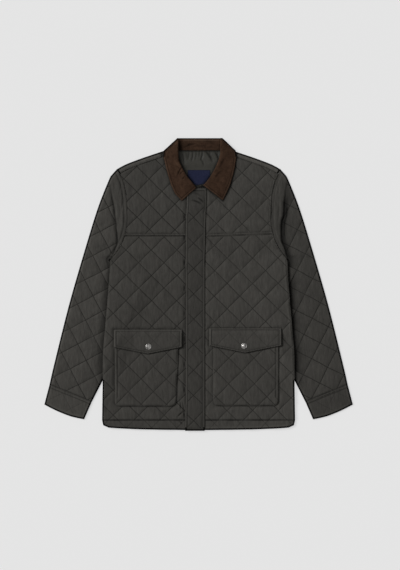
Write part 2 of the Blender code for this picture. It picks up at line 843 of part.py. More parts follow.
def make_placket(material):
    """The covered front edge, quilted, lying over both fronts and the zip."""
    x0, x1 = PLACKET_RIGHT * MM, PLACKET_LEFT * MM
    low, high = PLACKET_END * MM, PLACKET_TOP * MM
    corners = [Vector((x0, low)), Vector((x1, low)), Vector((x1, high)), Vector((x0, high))]
    loop = closed_loop(corners, 80 * MM)
    press = Press(PLACKET_RIGHT - 5, PLACKET_LEFT + 5, PLACKET_FLAT_TOP, PLACKET_TOP + 10)
    rolls = [Roll(corners + corners[:1], FOLD_DROP)]
    cutting = Cutting([loop], trim=0)
    cutting.divide([level(PLACKET_FLAT_TOP)])
    cutting.free(press)
    cutting.quilt(QUILTS["placket"])
    top = quilted_top(ON_FRONT + WALL, QUILTS["placket"], PLACKET_PUFF, rolls, [press])
    return cutting.solid("placket", resting(ON_FRONT), top, material)


# ---- sleeves ----


def make_sleeve(half, material):
    """A tube pressed flat: the band round its head, the part that shows, and the part behind the body."""
    name = "sleeve_" + half.name
    outer = curve(SLEEVE_OUTER)
    fold = curve(SLEEVE_FOLD)
    armhole = curve(ARMHOLE)
    side = [p for p in curve(SIDE) if p.y > TUCK_LOW.y - EXACT]
    head_end = next(k for k, p in enumerate(outer) if (p - fold[0]).length < EXACT)
    cuff_in = at(CUFF_INNER)
    cuff_seam = straight(outer[-1], cuff_in, 24 * MM)
    inner = straight(cuff_in, TUCK_LOW, 24 * MM)
    behind = [TUCK_LOW, *straight(TUCK_LOW, TUCK_IN, 60 * MM), *straight(TUCK_IN, TUCK_HIGH, 60 * MM)]
    fold_high, fold_low = split_at(fold, HEAD_TIP * MM)
    armhole_high, armhole_low = split_at(armhole, HEAD_TIP * MM)
    head = outer[:head_end] + fold_high + armhole_high[:0:-1]
    tip = fold_low + armhole_low[-2::-1]
    narrow = outer[head_end : head_end + 3] + fold[2:0:-1]
    shown = outer[head_end + 2 :] + cuff_seam + inner + side[-2::-1] + (fold_high + fold_low[1:])[-2:1:-1]
    tucked = side + behind[1:-1]
    rolls = [
        Roll(sided(outer, half.sign), FOLD_DROP),
        Roll(sided([cuff_in, *inner], half.sign), FOLD_DROP),
        Roll(sided(fold, half.sign), FOLD_DEPTH),
        Roll(sided(armhole, half.sign), SEAM_DROP),
        Roll(sided([outer[-1], *cuff_seam], half.sign), SEAM_DROP),
        Roll(sided(side, half.sign), 0.0),
    ]
    hidden = sided(tucked, half.sign)
    quilted = quilted_top(SLEEVE_FLAT, QUILTS[name], PUFF, rolls, climb=flat)
    plain = [sided(tip, half.sign), sided(narrow, half.sign), hidden]
    cutting = Cutting([sided(head, half.sign), sided(shown, half.sign)], plain)
    cutting.quilt(QUILTS[name])

    def top(x, y):
        return SLEEVE_FLAT if inside(hidden, x, y) else quilted(x, y)

    sleeve = cutting.solid(name, flat, top, material)
    slot = offset(
        (outer, SLOT_EDGE),
        ([outer[-1], *cuff_seam], -SLOT_REACH),
        ([cuff_in, *inner], SLOT_EDGE),
        (behind, SLOT_EDGE),
        ([*armhole_low[:0:-1], *armhole_high[::-1]], -SLOT_REACH),
    )
    hollow = prism(name + "_slot", sided(slot, half.sign), WALL, WALL + SLOT, material)
    combine(sleeve, hollow, "DIFFERENCE")


def make_cuff(half, material):
    """A band round the end of the sleeve, pressed flat with it."""
    name = "cuff_" + half.name
    seam = [at(SLEEVE_OUTER[-1]), *straight(at(SLEEVE_OUTER[-1]), at(CUFF_INNER), 24 * MM)]
    end = curve(CUFF_END)
    loop = seam + end[::-1]
    rolls = [Roll(sided(seam, half.sign), SEAM_DROP)]
    rolls.append(Roll(sided([seam[0], *end, seam[-1]], half.sign), FOLD_DROP))
    quilt = QUILTS["sleeve_" + half.name]
    cutting = Cutting([sided(loop, half.sign)])
    cutting.quilt(quilt)
    top = quilted_top(SLEEVE_FLAT + FIRM_PUFF, quilt, FIRM_PUFF, rolls, climb=flat)
    cuff = cutting.solid(name, flat, top, material)
    slot = offset(
        (seam, -SLOT_REACH),
        ([seam[-1], end[-1]], SLOT_EDGE),
        (end[::-1], -SLOT_REACH),
        ([end[0], seam[0]], SLOT_EDGE),
    )
    hollow = prism(name + "_slot", sided(slot, half.sign), WALL, WALL + SLOT, material)
    combine(cuff, hollow, "DIFFERENCE")


# ---- pockets ----


def make_pocket(half, material):
    """A quilted patch with rounded lower corners, lying on the front that it is sewn to."""
    name = "pocket_" + half.name
    pocket = POCKETS[half.name]
    top_edge = FLAPS[half.name].top - POCKET_UNDER_FLAP
    low = pocket.bottom + POCKET_CORNER
    corners = arc(pocket.outer - POCKET_CORNER, low, POCKET_CORNER, 0, -90)
    corners += arc(pocket.inner + POCKET_CORNER, low, POCKET_CORNER, -90, -180)
    upper = [Vector((pocket.inner, top_edge)) * MM, Vector((pocket.outer, top_edge)) * MM]
    loop = sided(upper + corners, half.sign)
    rolls = [Roll(loop + loop[:1], FOLD_DROP)]
    cutting = Cutting([loop], trim=0)
    cutting.divide(rise_lines(), everywhere=False)
    cutting.quilt(QUILTS[name])
    top = quilted_top(ON_FRONT + POCKET_WALL, QUILTS[name], POCKET_PUFF, rolls)
    return cutting.solid(name, resting(ON_FRONT), top, material)


def flap_step(half):
    """The underside of a flap above the front: sewn down at its top edge, then up over the pocket."""
    flap = FLAPS[half.name]

    def step(x, y):
        down = (flap.top * MM - y) / (FLAP_RAMP * MM)
        return rise(x, y) + FLAP_UNDER * clamp(down)

    return step


def snap_place(half):
    x, y = FLAPS[half.name].snap
    return Vector((half.sign * x, y)) * MM


def make_flap(half, material):
    """A stiffened flap with a point in the middle, pressed flat round its snap."""
    name = "flap_" + half.name
    flap = FLAPS[half.name]
    middle = (flap.inner + flap.outer) / 2
    places = (
        (flap.inner, flap.top),
        (flap.outer, flap.top),
        (flap.outer, flap.side),
        (middle, flap.point),
        (flap.inner, flap.side),
    )
    corners = sided([Vector(place) * MM for place in places], half.sign)
    loop = closed_loop(corners, 50 * MM)
    rolls = [Roll(corners + corners[:1], FOLD_DROP)]
    step = flap_step(half)
    snap = snap_place(half)
    quilt = QUILTS["pocket_" + half.name]

    def top(x, y):
        left, drop = roll_down(rolls, x, y)
        left = min(left, clamp((Vector((x, y)) - snap).length / SNAP_FLAT - 1))
        return ON_FRONT + WALL + step(x, y) + FIRM_PUFF * left * quilting(quilt, x, y) - drop

    cutting = Cutting([loop], trim=0)
    cutting.divide(rise_lines())
    cutting.divide([level(flap.top - FLAP_RAMP)])
    cutting.quilt(quilt)
    return cutting.solid(name, lambda x, y: ON_FRONT + step(x, y), top, material)


def make_snap(half, material):
    """A pressed cap with a rim and a low dome, turned, seated on the flap."""
    x, y = snap_place(half)
    seat = ON_FRONT + WALL + flap_step(half)(x, y) + GAP
    mesh = bmesh.new()
    turns = [2 * math.pi * k / SNAP_SIDES for k in range(SNAP_SIDES)]
    rings = []
    for ring in SNAP_RINGS:
        height = seat + ring.height * MM
        places = [Vector((x, y)) + Vector((math.cos(t), math.sin(t))) * ring.radius * MM for t in turns]
        rings.append([mesh.verts.new((*place, height)) for place in places])
    for low, high in zip(rings, rings[1:]):
        for k in range(SNAP_SIDES):
            after = (k + 1) % SNAP_SIDES
            mesh.faces.new((low[k], low[after], high[after], high[k]))
    crown = mesh.verts.new((x, y, seat + SNAP_CROWN * MM))
    for k in range(SNAP_SIDES):
        mesh.faces.new((rings[-1][k], rings[-1][(k + 1) % SNAP_SIDES], crown))
    mesh.faces.new(rings[0][::-1])
    return add("snap_" + half.name, mesh, material)


# ---- neck and collar ----


def fall_edge():
    """The lower edge of the collar at the back, from the right shoulder to the left one."""
    left = curve(FALL_EDGE, step=24 * MM)
    line = mirrored(left)[::-1][:-1] + left
    return [p + Vector((NECK_CENTRE * MM, 0)) for p in line]


def border(grid):
    """The corners round the outside of a grid, in order."""
    return grid[0] + [row[-1] for row in grid[1:]] + grid[-1][-2::-1] + [row[0] for row in grid[-2:0:-1]]


def make_leaf(half, material):
    """One collar leaf, lofted across its sections: thin at its outer edge, rolled up at the neck."""
    rows = []
    for section in LEAF_SECTIONS:
        outer = Vector(section.left_outer if half.sign > 0 else section.right_outer) * MM
        inner = Vector(section.left_inner if half.sign > 0 else section.right_inner) * MM
        rows.append((outer, inner, section.roll))
    mesh = bmesh.new()
    layers = []
    for is_top in (False, True):
        grid = []
        for number, (outer, inner, roll) in enumerate(rows):
            end = LEAF_END if number in (0, len(rows) - 1) else 1.0
            line = []
            for point in LEAF_PROFILE:
                place = outer.lerp(inner, point.across)
                height = LEAF_UNDER
                if is_top:
                    height += LEAF_WALL * point.wall * end + LEAF_ROLL * point.roll * roll
                line.append(mesh.verts.new((half.sign * place.x, place.y, height)))
            grid.append(line)
        layers.append(grid)
        for low, high in zip(grid, grid[1:]):
            for k in range(len(low) - 1):
                mesh.faces.new((low[k], low[k + 1], high[k + 1], high[k]))
    under, top = (border(grid) for grid in layers)
    for k, vert in enumerate(under):
        after = (k + 1) % len(under)
        mesh.faces.new((vert, under[after], top[after], top[k]))
    return add("leaf_" + half.name, mesh, material)


def make_collar(material):
    """The fall: flat behind the neck, folded forward over each shoulder, a leaf on each front."""
    centre = NECK_CENTRE * MM
    top_half = FALL_TOP_HALF * MM
    fold = COLLAR_FOLD * MM
    start, end = Vector((centre + top_half, fold)), Vector((centre - top_half, fold))
    loop = [start, *straight(start, end, 60 * MM), *fall_edge()]
    cutting = Cutting([], [loop], edge=0)
    collar = cutting.solid("collar", flat, lambda x, y: WALL, material)
    for half in HALVES:
        combine(collar, make_leaf(half, material), "UNION")
        shift = half.sign * NECK_CENTRE
        block = [Vector((x + shift, y)) * MM for x, y in COLLAR_TURN]
        low, high = WALL / 2, LEAF_UNDER + LEAF_WALL / 2
        combine(collar, prism("turn_" + half.name, sided(block, half.sign), low, high, material), "UNION")


def make_stand(material):
    """The stand of the collar at the back neck, leaning from the neck seam up to the fold."""
    x0, x1 = -STAND_RIGHT_END, STAND_LEFT_END
    y0, y1 = STAND_LINES[0].y, STAND_LINES[-1].y
    loop = [Vector(place) * MM for place in ((x0, y0), (x1, y0), (x1, y1), (x0, y1))]
    cutting = Cutting([], [loop], edge=0)
    cutting.divide(level(line.y) for line in STAND_LINES[1:-1])

    def top(x, y):
        for low, high in zip(STAND_LINES, STAND_LINES[1:]):
            if y <= high.y * MM or high is STAND_LINES[-1]:
                t = clamp((y / MM - low.y) / (high.y - low.y))
                return FRONT_UNDER + (low.height + (high.height - low.height) * t) * MM

    return cutting.solid("collar_stand", lambda x, y: FRONT_UNDER, top, material)


def neck_opening():
    """The opening of the neck in plan, from the neck seam down to the top of the placket."""
    left, right = (neckline(half) for half in HALVES)
    left = split_at(left, NECK_SEAM * MM)[1]
    right = mirrored(split_at(right, NECK_SEAM * MM)[1])
    return left, right


def lining_height(x, y):
    """The lining with its gathers, which run down from the neck seam and fade."""
    height = LINING_WALL
    for gather in GATHERS:
        across = (x / MM - gather.x) / gather.width
        down = (NECK_SEAM - y / MM) / gather.length
        height += gather.height * MM * math.exp(-2 * across * across) * clamp(1 - down) * clamp(4 * down)
    return FRONT_UNDER + height


def make_lining(material):
    left, right = neck_opening()
    cutting = Cutting([], [left + right[::-1]], edge=0)
    cutting.divide(upright(x) for x in range(-56, 64, 8))
    cutting.divide(level(NECK_SEAM - down) for down in GATHER_STEPS)
    return cutting.solid("back_lining", lambda x, y: FRONT_UNDER, lining_height, material)


def make_label(material):
    """A bare woven label, cut off where the neckline covers it."""
    sides = []
    for half in HALVES:
        edge = LABEL_EDGE[half.name]
        low = split_at(neckline(half), (edge + LABEL_MARGIN) * MM, axis=0)[1]
        side = [Vector((edge, LABEL_TOP)) * MM]
        side += [p - Vector((LABEL_MARGIN * MM, 0)) for p in low[:-1]]
        sides.append(sided(side, half.sign))
    bottom = Vector((ZIP_MIDDLE, NECK_BOTTOM + LABEL_LIFT)) * MM
    under = FRONT_UNDER + LINING_WALL + GAP
    return prism("neck_label", sides[0] + [bottom] + sides[1][::-1], under, under + LABEL_WALL, material)


def main():
    clear_scene()
    shell = cloth("shell cloth", CLOTH)
    cuff_shell = cloth("cuff cloth", CUFF_CLOTH)
    placket_shell = cloth("placket cloth", PLACKET_CLOTH)
    collar_shell = cloth("collar cloth", COLLAR_CLOTH, roughness=0.9)
    nickel = cloth("nickel", NICKEL, roughness=0.28, metallic=1.0)
    make_back(shell)
    make_collar(collar_shell)
    make_stand(collar_shell)
    make_lining(cloth("lining cloth", LINING_CLOTH, roughness=0.7))
    make_label(cloth("label cloth", LABEL_CLOTH, roughness=0.6))
    make_zip(cloth("zip tape", ZIP_TAPE))
    make_placket(placket_shell)
    for half in HALVES:
        make_yoke(half, shell)
        make_front(half, shell)
        make_sleeve(half, shell)
        make_cuff(half, cuff_shell)
        make_pocket(half, shell)
        make_flap(half, cuff_shell)
        make_snap(half, nickel)


main()
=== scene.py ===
# %% [markdown]
# # A quilted field jacket, laid flat
# The jacket's solids are already there, at their true size: panels, sleeves, collar, pockets. They
# are plain. This lesson gives each of them its cloth. We read the outline of a solid, fill it with
# a fine grid whose lines run along the quilting, and lift that grid into puffs, seams and creases.
# Then come the threads, the metal snaps and a material for every kind of cloth.

import math
from collections import namedtuple

import bmesh
import bpy
import numpy as np
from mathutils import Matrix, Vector
from mathutils.bvhtree import BVHTree


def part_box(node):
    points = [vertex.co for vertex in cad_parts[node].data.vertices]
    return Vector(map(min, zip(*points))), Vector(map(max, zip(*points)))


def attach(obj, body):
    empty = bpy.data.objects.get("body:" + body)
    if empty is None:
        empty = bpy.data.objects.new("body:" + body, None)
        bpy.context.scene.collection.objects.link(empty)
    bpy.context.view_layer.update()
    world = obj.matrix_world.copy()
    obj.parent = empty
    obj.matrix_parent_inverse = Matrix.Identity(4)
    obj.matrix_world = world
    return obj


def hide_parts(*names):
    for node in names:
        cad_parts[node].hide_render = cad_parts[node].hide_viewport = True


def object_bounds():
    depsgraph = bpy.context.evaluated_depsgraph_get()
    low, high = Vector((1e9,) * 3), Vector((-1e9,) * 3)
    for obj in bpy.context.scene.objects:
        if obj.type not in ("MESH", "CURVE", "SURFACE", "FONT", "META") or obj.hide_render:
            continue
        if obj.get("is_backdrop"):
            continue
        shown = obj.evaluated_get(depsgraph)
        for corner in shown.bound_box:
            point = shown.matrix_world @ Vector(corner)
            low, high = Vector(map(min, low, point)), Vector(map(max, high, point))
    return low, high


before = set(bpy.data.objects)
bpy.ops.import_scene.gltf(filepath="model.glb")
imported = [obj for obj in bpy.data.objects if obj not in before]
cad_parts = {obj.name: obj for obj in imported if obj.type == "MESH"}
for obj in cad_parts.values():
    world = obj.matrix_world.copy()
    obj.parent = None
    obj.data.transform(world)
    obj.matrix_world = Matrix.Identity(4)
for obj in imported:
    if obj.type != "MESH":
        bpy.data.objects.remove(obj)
cad_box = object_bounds()
print("nodes:", ", ".join(sorted(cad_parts)))

# %% [markdown]
# ## Sizes
# The quilting is the ruler of this jacket: squares of 50 mm, turned 45 degrees on the body, and
# turned further on the sleeves because each sleeve is cut on its own line. Each panel was quilted
# before it was cut, so each has its own place where two lines cross. All sizes in the tables below
# are in millimetres.

# %% Sizes of the quilting
MM = 0.001
SQUARE = 50.3 * MM
CELLS = 24  # grid cells along the side of a square
CELL = SQUARE / CELLS

Quilt = namedtuple("Quilt", "x y turn")
SLEEVE_LEAN = 17.6
QUILTS = {
    "yoke_left": Quilt(121.8, 241.5, 0),
    "yoke_right": Quilt(-137.5, 224.4, 0),
    "front_left": Quilt(115.6, -32.6, 0),
    "front_right": Quilt(-203.0, -45.8, 0),
    "sleeve_left": Quilt(316.7, -207.9, SLEEVE_LEAN),
    "sleeve_right": Quilt(-314.7, -212.1, -SLEEVE_LEAN),
    "pocket_left": Quilt(84.3, -206.8, 0),
    "pocket_right": Quilt(-196.6, -228.9, 0),
    "placket": Quilt(-14.0, 187.5, 0),
    "plain": Quilt(3.3, 350, 45),
}
print(f"grid cell {CELL / MM:.2f} mm")

# %% [markdown]
# ## Camera, floor and light
# The jacket was photographed from straight above with a long lens, so the camera looks down from
# far away. The light is a bright even sky, as in a white studio, with one broad soft light from the
# upper left: it is what gives each quilted square a light side and a dark side.

# %% Camera
PIXEL = 2.8 * MM  # what one of the photograph's pixels covers
PHOTO_HEIGHT = 570
CAMERA_HEIGHT = 7.0
VIEW_CENTRE = (3.9 * MM, -1.5 * MM)

lens = bpy.data.cameras.new("camera")
lens.lens = lens.sensor_width * CAMERA_HEIGHT / (PHOTO_HEIGHT * PIXEL)
lens.clip_end = 100
camera = bpy.data.objects.new("camera", lens)
camera.location = (*VIEW_CENTRE, CAMERA_HEIGHT)
bpy.context.scene.collection.objects.link(camera)
bpy.context.scene.camera = camera
print(f"lens {lens.lens:.0f} mm")

# %% Floor and light
SKY = 0.34
KEY = 2.3
KEY_TILT = (22, -48)  # degrees towards the collar's side and towards the photograph's left
KEY_SPREAD = 30
FLOOR_GLOW = 0.570  # the table under the jacket is lit from below, so shadows on it stay faint

bpy.ops.object.select_all(action="DESELECT")
bpy.ops.mesh.primitive_plane_add(size=14, location=(0, 0, -0.05 * MM))
floor = bpy.context.object
floor.name = "studio_floor"
floor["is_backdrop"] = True

key = bpy.data.lights.new("key", "SUN")
key.energy = KEY
key.angle = math.radians(KEY_SPREAD)
key_light = bpy.data.objects.new("key", key)
key_light.rotation_euler = (math.radians(-KEY_TILT[0]), math.radians(KEY_TILT[1]), 0)
bpy.context.scene.collection.objects.link(key_light)

sky = bpy.data.worlds.new("sky")
sky.use_nodes = True
sky.node_tree.nodes["Background"].inputs["Color"].default_value = (1, 1, 1, 1)
sky.node_tree.nodes["Background"].inputs["Strength"].default_value = SKY
bpy.context.scene.world = sky
bpy.context.scene.view_settings.view_transform = "Standard"
print("lights:", len(bpy.data.lights))

# %% [markdown]
# ## Shader maths
# A procedural cloth is mostly sums: distances to lines, masks, mixtures. Written as nodes one by
# one they are hard to read, so a small class wraps a socket and turns each operator into a Math
# node.


# %% Shader helper
class Value:
    """A socket that can be used in sums."""

    def __init__(self, surface, socket):
        self.surface = surface
        self.socket = socket

    def math(self, operation, *others):
        return self.surface.math(operation, self, *others)

    def __add__(self, other):
        return self.math("ADD", other)

    __radd__ = __add__

    def __mul__(self, other):
        return self.math("MULTIPLY", other)

    __rmul__ = __mul__

    def __sub__(self, other):
        return self.math("SUBTRACT", other)

    def __rsub__(self, other):
        return self.surface.math("SUBTRACT", other, self)

    def fade(self, start, end):
        """1 up to start, falling smoothly to 0 at end."""
        smooth = {"interpolation_type": "SMOOTHSTEP"}
        inputs = {"Value": self, "From Min": start, "From Max": end, "To Min": 1.0, "To Max": 0.0}
        return self.surface.node("ShaderNodeMapRange", smooth, inputs)["Result"]


class Made:
    """The outputs of a node, by name or by number."""

    def __init__(self, surface, node):
        self.surface = surface
        self.node = node

    def __getitem__(self, key):
        return Value(self.surface, self.node.outputs[key])


class Surface:
    """A material whose nodes are made in code."""

    def __init__(self, name):
        self.material = bpy.data.materials.new(name)
        self.material.use_nodes = True
        self.tree = self.material.node_tree
        self.shader = self.tree.nodes["Principled BSDF"]

    def node(self, kind, settings=None, inputs=None):
        made = self.tree.nodes.new(kind)
        for name, value in (settings or {}).items():
            setattr(made, name, value)
        for key, value in (inputs or {}).items():
            self.feed(made.inputs[key], value)
        return Made(self, made)

    def feed(self, socket, value):
        if isinstance(value, Value):
            self.tree.links.new(value.socket, socket)
        else:
            socket.default_value = value

    def math(self, operation, *values):
        return self.node("ShaderNodeMath", {"operation": operation}, dict(enumerate(values)))["Value"]

    def mix(self, factor, first, second, blend="MIX"):
        settings = {"data_type": "RGBA", "blend_type": blend}
        return self.node("ShaderNodeMix", settings, {0: factor, 6: first, 7: second})[2]

    def place(self):
        return self.node("ShaderNodeTexCoord")["Object"]

    def turned(self, vector, x, y, degrees, size):
        """A place measured from a point, along turned axes, in units of a size."""
        inputs = {"Vector": vector, "Location": (x, y, 0), "Rotation": (0, 0, math.radians(degrees))}
        inputs["Scale"] = size if isinstance(size, tuple) else (size, size, size)
        return self.node("ShaderNodeMapping", {"vector_type": "TEXTURE"}, inputs)["Vector"]

    def noise(self, vector, scale, detail=3.0, roughness=0.55):
        inputs = {"Vector": vector, "Scale": scale, "Detail": detail, "Roughness": roughness}
        return self.node("ShaderNodeTexNoise", {}, inputs)["Fac"]

    def attribute(self, name):
        return self.node("ShaderNodeAttribute", {"attribute_name": name})["Fac"]

    def split(self, vector):
        return self.node("ShaderNodeSeparateXYZ", {}, {"Vector": vector})

    def streaks(self, vector, size, degrees=0, detail=3, roughness=0.55):
        """Noise drawn out by a size along each axis, and turned."""
        return self.noise(self.turned(vector, 0, 0, degrees, (*size, 1)), 1.0, detail, roughness)

    def ribs(self, vector, axis, size, degrees=0, turns=1.0):
        """Even ribs across an axis, -1 to 1."""
        part = self.split(self.turned(vector, 0, 0, degrees, size))[axis]
        return (part * (math.tau * turns)).math("SINE")

    def bump(self, height):
        """Feeds a height in metres to the shader's normal."""
        made = self.node("ShaderNodeBump", {}, {"Height": height, "Distance": 1.0})
        self.feed(self.shader.inputs["Normal"], made["Normal"])

    def painted_highlight(self):
        """How much painted highlight the cloth takes, where the attribute deep is below 0."""
        return (0.0 - self.attribute("deep")).math("MAXIMUM", 0.0)

    def shadowed(self, start, end, most=0.98):
        """How dark it is in a fold, and where an edge turns away, between two distances in mm."""
        turned_away = self.attribute("rim_gap").fade(start * MM, end * MM) * most
        return turned_away.math("MAXIMUM", self.attribute("deep"))

    def finish(self, **sockets):
        for name, value in sockets.items():
            self.feed(self.shader.inputs[name.replace("_", " ")], value)
        return self.material


print("shader helper ready")

# %% [markdown]
# ## Shell cloth
# The shell is a matt polyester in a fine twill. Up close it has slubs along the warp and a faint
# mottling of the dye. Along each line of quilting the cloth is pulled down by a thread into a
# groove, so it looks tighter, and the groove's shade is painted into the colour as a dark line.
# Nothing on a sewn panel runs quite straight, so the panels carry what the material needs as
# attributes: square_u and square_v count the quilted squares, quilted is 0 where none is sewn,
# stitch_gap is the distance to the nearest row of topstitching, whose groove takes painted shade
# too, rim_gap the distance to a folded edge, where painted shade darkens it, and deep is painted
# shade, 1 inside a closed fold, and below 0 it is a painted highlight along a stitched edge.


# %% Shell cloth
def tinted(colour, share):
    """A colour made lighter or darker, with its alpha."""
    return (*(part * share for part in colour), 1)


def from_whole(value):
    """Distance to the nearest whole number."""
    return (value - value.math("ROUND")).math("ABSOLUTE")


STITCH = 3.1 * MM
WEAVE, TWILL_ANGLE = 0.9 * MM, 62
LINE_SHADE = 0.62  # how much painted shade darkens a line of quilting


def cloth_surface(name, colour):
    s = Surface(name)
    place = s.place()
    mottling = s.noise(place, 16, 4)
    slubs = s.streaks(place, (2.4 * MM, 18 * MM), roughness=0.7)
    streaks = s.streaks(place, (6 * MM, 34 * MM), 4, roughness=0.65)
    grain = s.noise(place, 900, 3, 0.7)
    ribs = s.ribs(place, "X", WEAVE, TWILL_ANGLE)
    cross = s.ribs(place, "Y", WEAVE, TWILL_ANGLE, 0.5)
    height = ribs * (0.035 * MM) + cross * (0.012 * MM) + grain * (0.06 * MM) + slubs * (0.12 * MM)
    uneven_groove_shade = mottling * 2.4 - 0.5
    # Painted shade in the grooves of the topstitching and the quilting, stronger on some lines than on
    # others.
    line = s.attribute("stitch_gap").math("ABSOLUTE").fade(0.3 * MM, 1.2 * MM) * (uneven_groove_shade * 0.35 + 0.18)
    quilted = s.attribute("quilted")
    square = (s.attribute("square_u"), s.attribute("square_v"))
    for across, along in (square, square[::-1]):
        away = from_whole(across) * SQUARE
        line = line.math("MAXIMUM", away.fade(0.25 * MM, 1.4 * MM) * (uneven_groove_shade * 0.6 + 0.5) * quilted)
        thread = away.fade(0.25 * MM, 0.5 * MM) * quilted
        dash = from_whole(along * (SQUARE / STITCH)).fade(0.30, 0.42)
        height = height + thread * dash * (0.22 * MM)
    shade = mottling * 0.40 + slubs * 0.80 + streaks * 0.70 + grain * 0.40 - 0.15
    grey = s.node("ShaderNodeCombineColor", {}, {"Red": shade, "Green": shade, "Blue": shade})["Color"]
    dye_and_highlight = s.mix(1.0, (*colour, 1), grey, "MULTIPLY")
    # Painted highlight where deep is below 0, painted shade in the grooves of the lines, and painted
    # shade at folded edges and in folds.
    dye_and_highlight = s.mix(s.painted_highlight(), dye_and_highlight, tinted(colour, 2.2))
    with_groove_shade = s.mix(line, dye_and_highlight, tinted(colour, 1 - LINE_SHADE))
    cloth = s.mix(s.shadowed(3.6, 5.2), with_groove_shade, tinted(colour, 0.04))
    s.bump(height - line * (0.2 * MM))
    return s.finish(Base_Color=cloth, Roughness=0.72 + mottling * 0.2, Specular_IOR_Level=0.07)


SHELL = (0.0540, 0.0514, 0.0463)
LIGHT_AND_TONE = {  # how light each piece is against the shell's own colour; for the sleeves and cuffs it is painted light, lighter on the side the light comes from
    "yoke_left": 1.02, "yoke_right": 0.96, "front_left": 1.0, "front_right": 0.97, "sleeve_left": 0.91,
    "sleeve_right": 1.06, "pocket_left": 0.96, "pocket_right": 0.94, "flap_left": 0.96,
    "flap_right": 0.96, "cuff_left": 0.85, "cuff_right": 1.12, "placket": 0.82, "back": 1.54,
}
shell_cloth = {}
for node, lit_tone in LIGHT_AND_TONE.items():
    shell_cloth[node] = cloth_surface("shell_" + node, tuple(part * lit_tone for part in SHELL))
print("shell cloths:", len(shell_cloth))

# %% [markdown]
# ## Reading outlines
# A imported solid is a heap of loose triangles. We join a copy of it at its corners, take the faces
# that look down, and walk round their border: that is the outline of the cut piece. The solid
# itself is never touched.


# %% Outlines
def joined_copy(node):
    mesh = bmesh.new()
    mesh.from_mesh(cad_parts[node].data)
    bmesh.ops.remove_doubles(mesh, verts=mesh.verts, dist=0.01 * MM)
    mesh.normal_update()
    return mesh


def border_loops(chosen):
    """The closed lines round some faces, longest first, as arrays of x and y."""
    chosen = dict.fromkeys(chosen)  # in their order, so that each line always starts at the same corner
    after = {}
    for face in chosen:
        for loop in face.loops:
            if not any(other in chosen for other in loop.edge.link_faces if other is not face):
                after[loop.vert] = loop.link_loop_next.vert
    loops = []
    while after:
        start, vert = after.popitem()
        line = [start]
        while vert is not start:
            line.append(vert)
            vert = after.pop(vert)
        loops.append(np.array([v.co.xy for v in line]))
    return sorted(loops, key=len, reverse=True)


def outline(node):
    """The outline of a node's underside."""
    mesh = joined_copy(node)
    slot_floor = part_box(node)[0].z + 2 * MM if node.startswith(("sleeve", "cuff")) else math.inf
    found = border_loops(
        [f for f in mesh.faces if f.normal.z < -0.5 and f.calc_center_median().z < slot_floor]
    )
    mesh.free()
    return found[0]


print("solids to read:", len(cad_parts))


# %% Distances in plan
def inside(loop, x, y):
    """Which places are inside a closed line."""
    hits = np.zeros(len(x), int)
    for (px, py), (qx, qy) in zip(loop, np.roll(loop, -1, axis=0)):
        crosses = (py > y) != (qy > y)
        if crosses.any():
            hits += crosses & (x < px + (qx - px) * (y - py) / (qy - py))
    return hits % 2 == 1


class Edges:
    """Pieces of line in plan. They give how far places are from them, and how far along."""

    def __init__(self, segments):
        self.segments = np.array(segments, float).reshape(-1, 2, 2)
        lengths = np.linalg.norm(self.segments[:, 1] - self.segments[:, 0], axis=1)
        self.starts = np.concatenate([[0], np.cumsum(lengths)])[:-1]

    def near(self, x, y):
        away = np.full(len(x), 1.0)
        along = np.zeros(len(x))
        for (p, q), start in zip(self.segments, self.starts):
            d = q - p
            length = math.hypot(*d)
            t = np.clip(((x - p[0]) * d[0] + (y - p[1]) * d[1]) / length**2, 0, 1)
            gap = np.hypot(x - p[0] - t * d[0], y - p[1] - t * d[1])
            closer = gap < away
            away = np.where(closer, gap, away)
            along = np.where(closer, start + t * length, along)
        return away, along


def closed(loop):
    return np.stack([loop, np.roll(loop, -1, axis=0)], axis=1)


def edges_of(loops):
    return Edges(np.concatenate([closed(loop) for loop in loops]))


def inset(loop, amounts):
    """A closed line moved inwards, each of its stretches by its own amount."""
    x, y = loop.T
    inwards = math.copysign(1, np.sum(x * np.roll(y, -1) - y * np.roll(x, -1)))
    along = np.roll(loop, -1, axis=0) - loop
    along /= np.linalg.norm(along, axis=1)[:, None]
    normals = np.stack([-along[:, 1], along[:, 0]], axis=1) * inwards
    moved = []
    for k, corner in enumerate(loop):
        first, second = normals[k - 1], normals[k]
        before, after = amounts[k - 1], amounts[k]
        turn = first[0] * second[1] - first[1] * second[0]
        if abs(turn) < 0.4:
            moved.append(corner + (first * before + second * after) / 2)
        else:
            step_x = (before * second[1] - after * first[1]) / turn
            step_y = (after * first[0] - before * second[0]) / turn
            moved.append(corner + (step_x, step_y))
    return np.array(moved)


def meets(loop, others, within):
    """Which stretches of an outline run along one of the others, as at a seam."""
    middle = closed(loop).mean(axis=1)
    away, _ = edges_of(others).near(*middle.T)
    return away < within * MM


print("distances ready")

# %% [markdown]
# Most outlines are used as they are. The photograph shows the placket, the pockets and the flaps a
# few millimetres off their solids, so those outlines are stretched to it: the left and right end of
# each, and how far its right side leans in at the bottom.

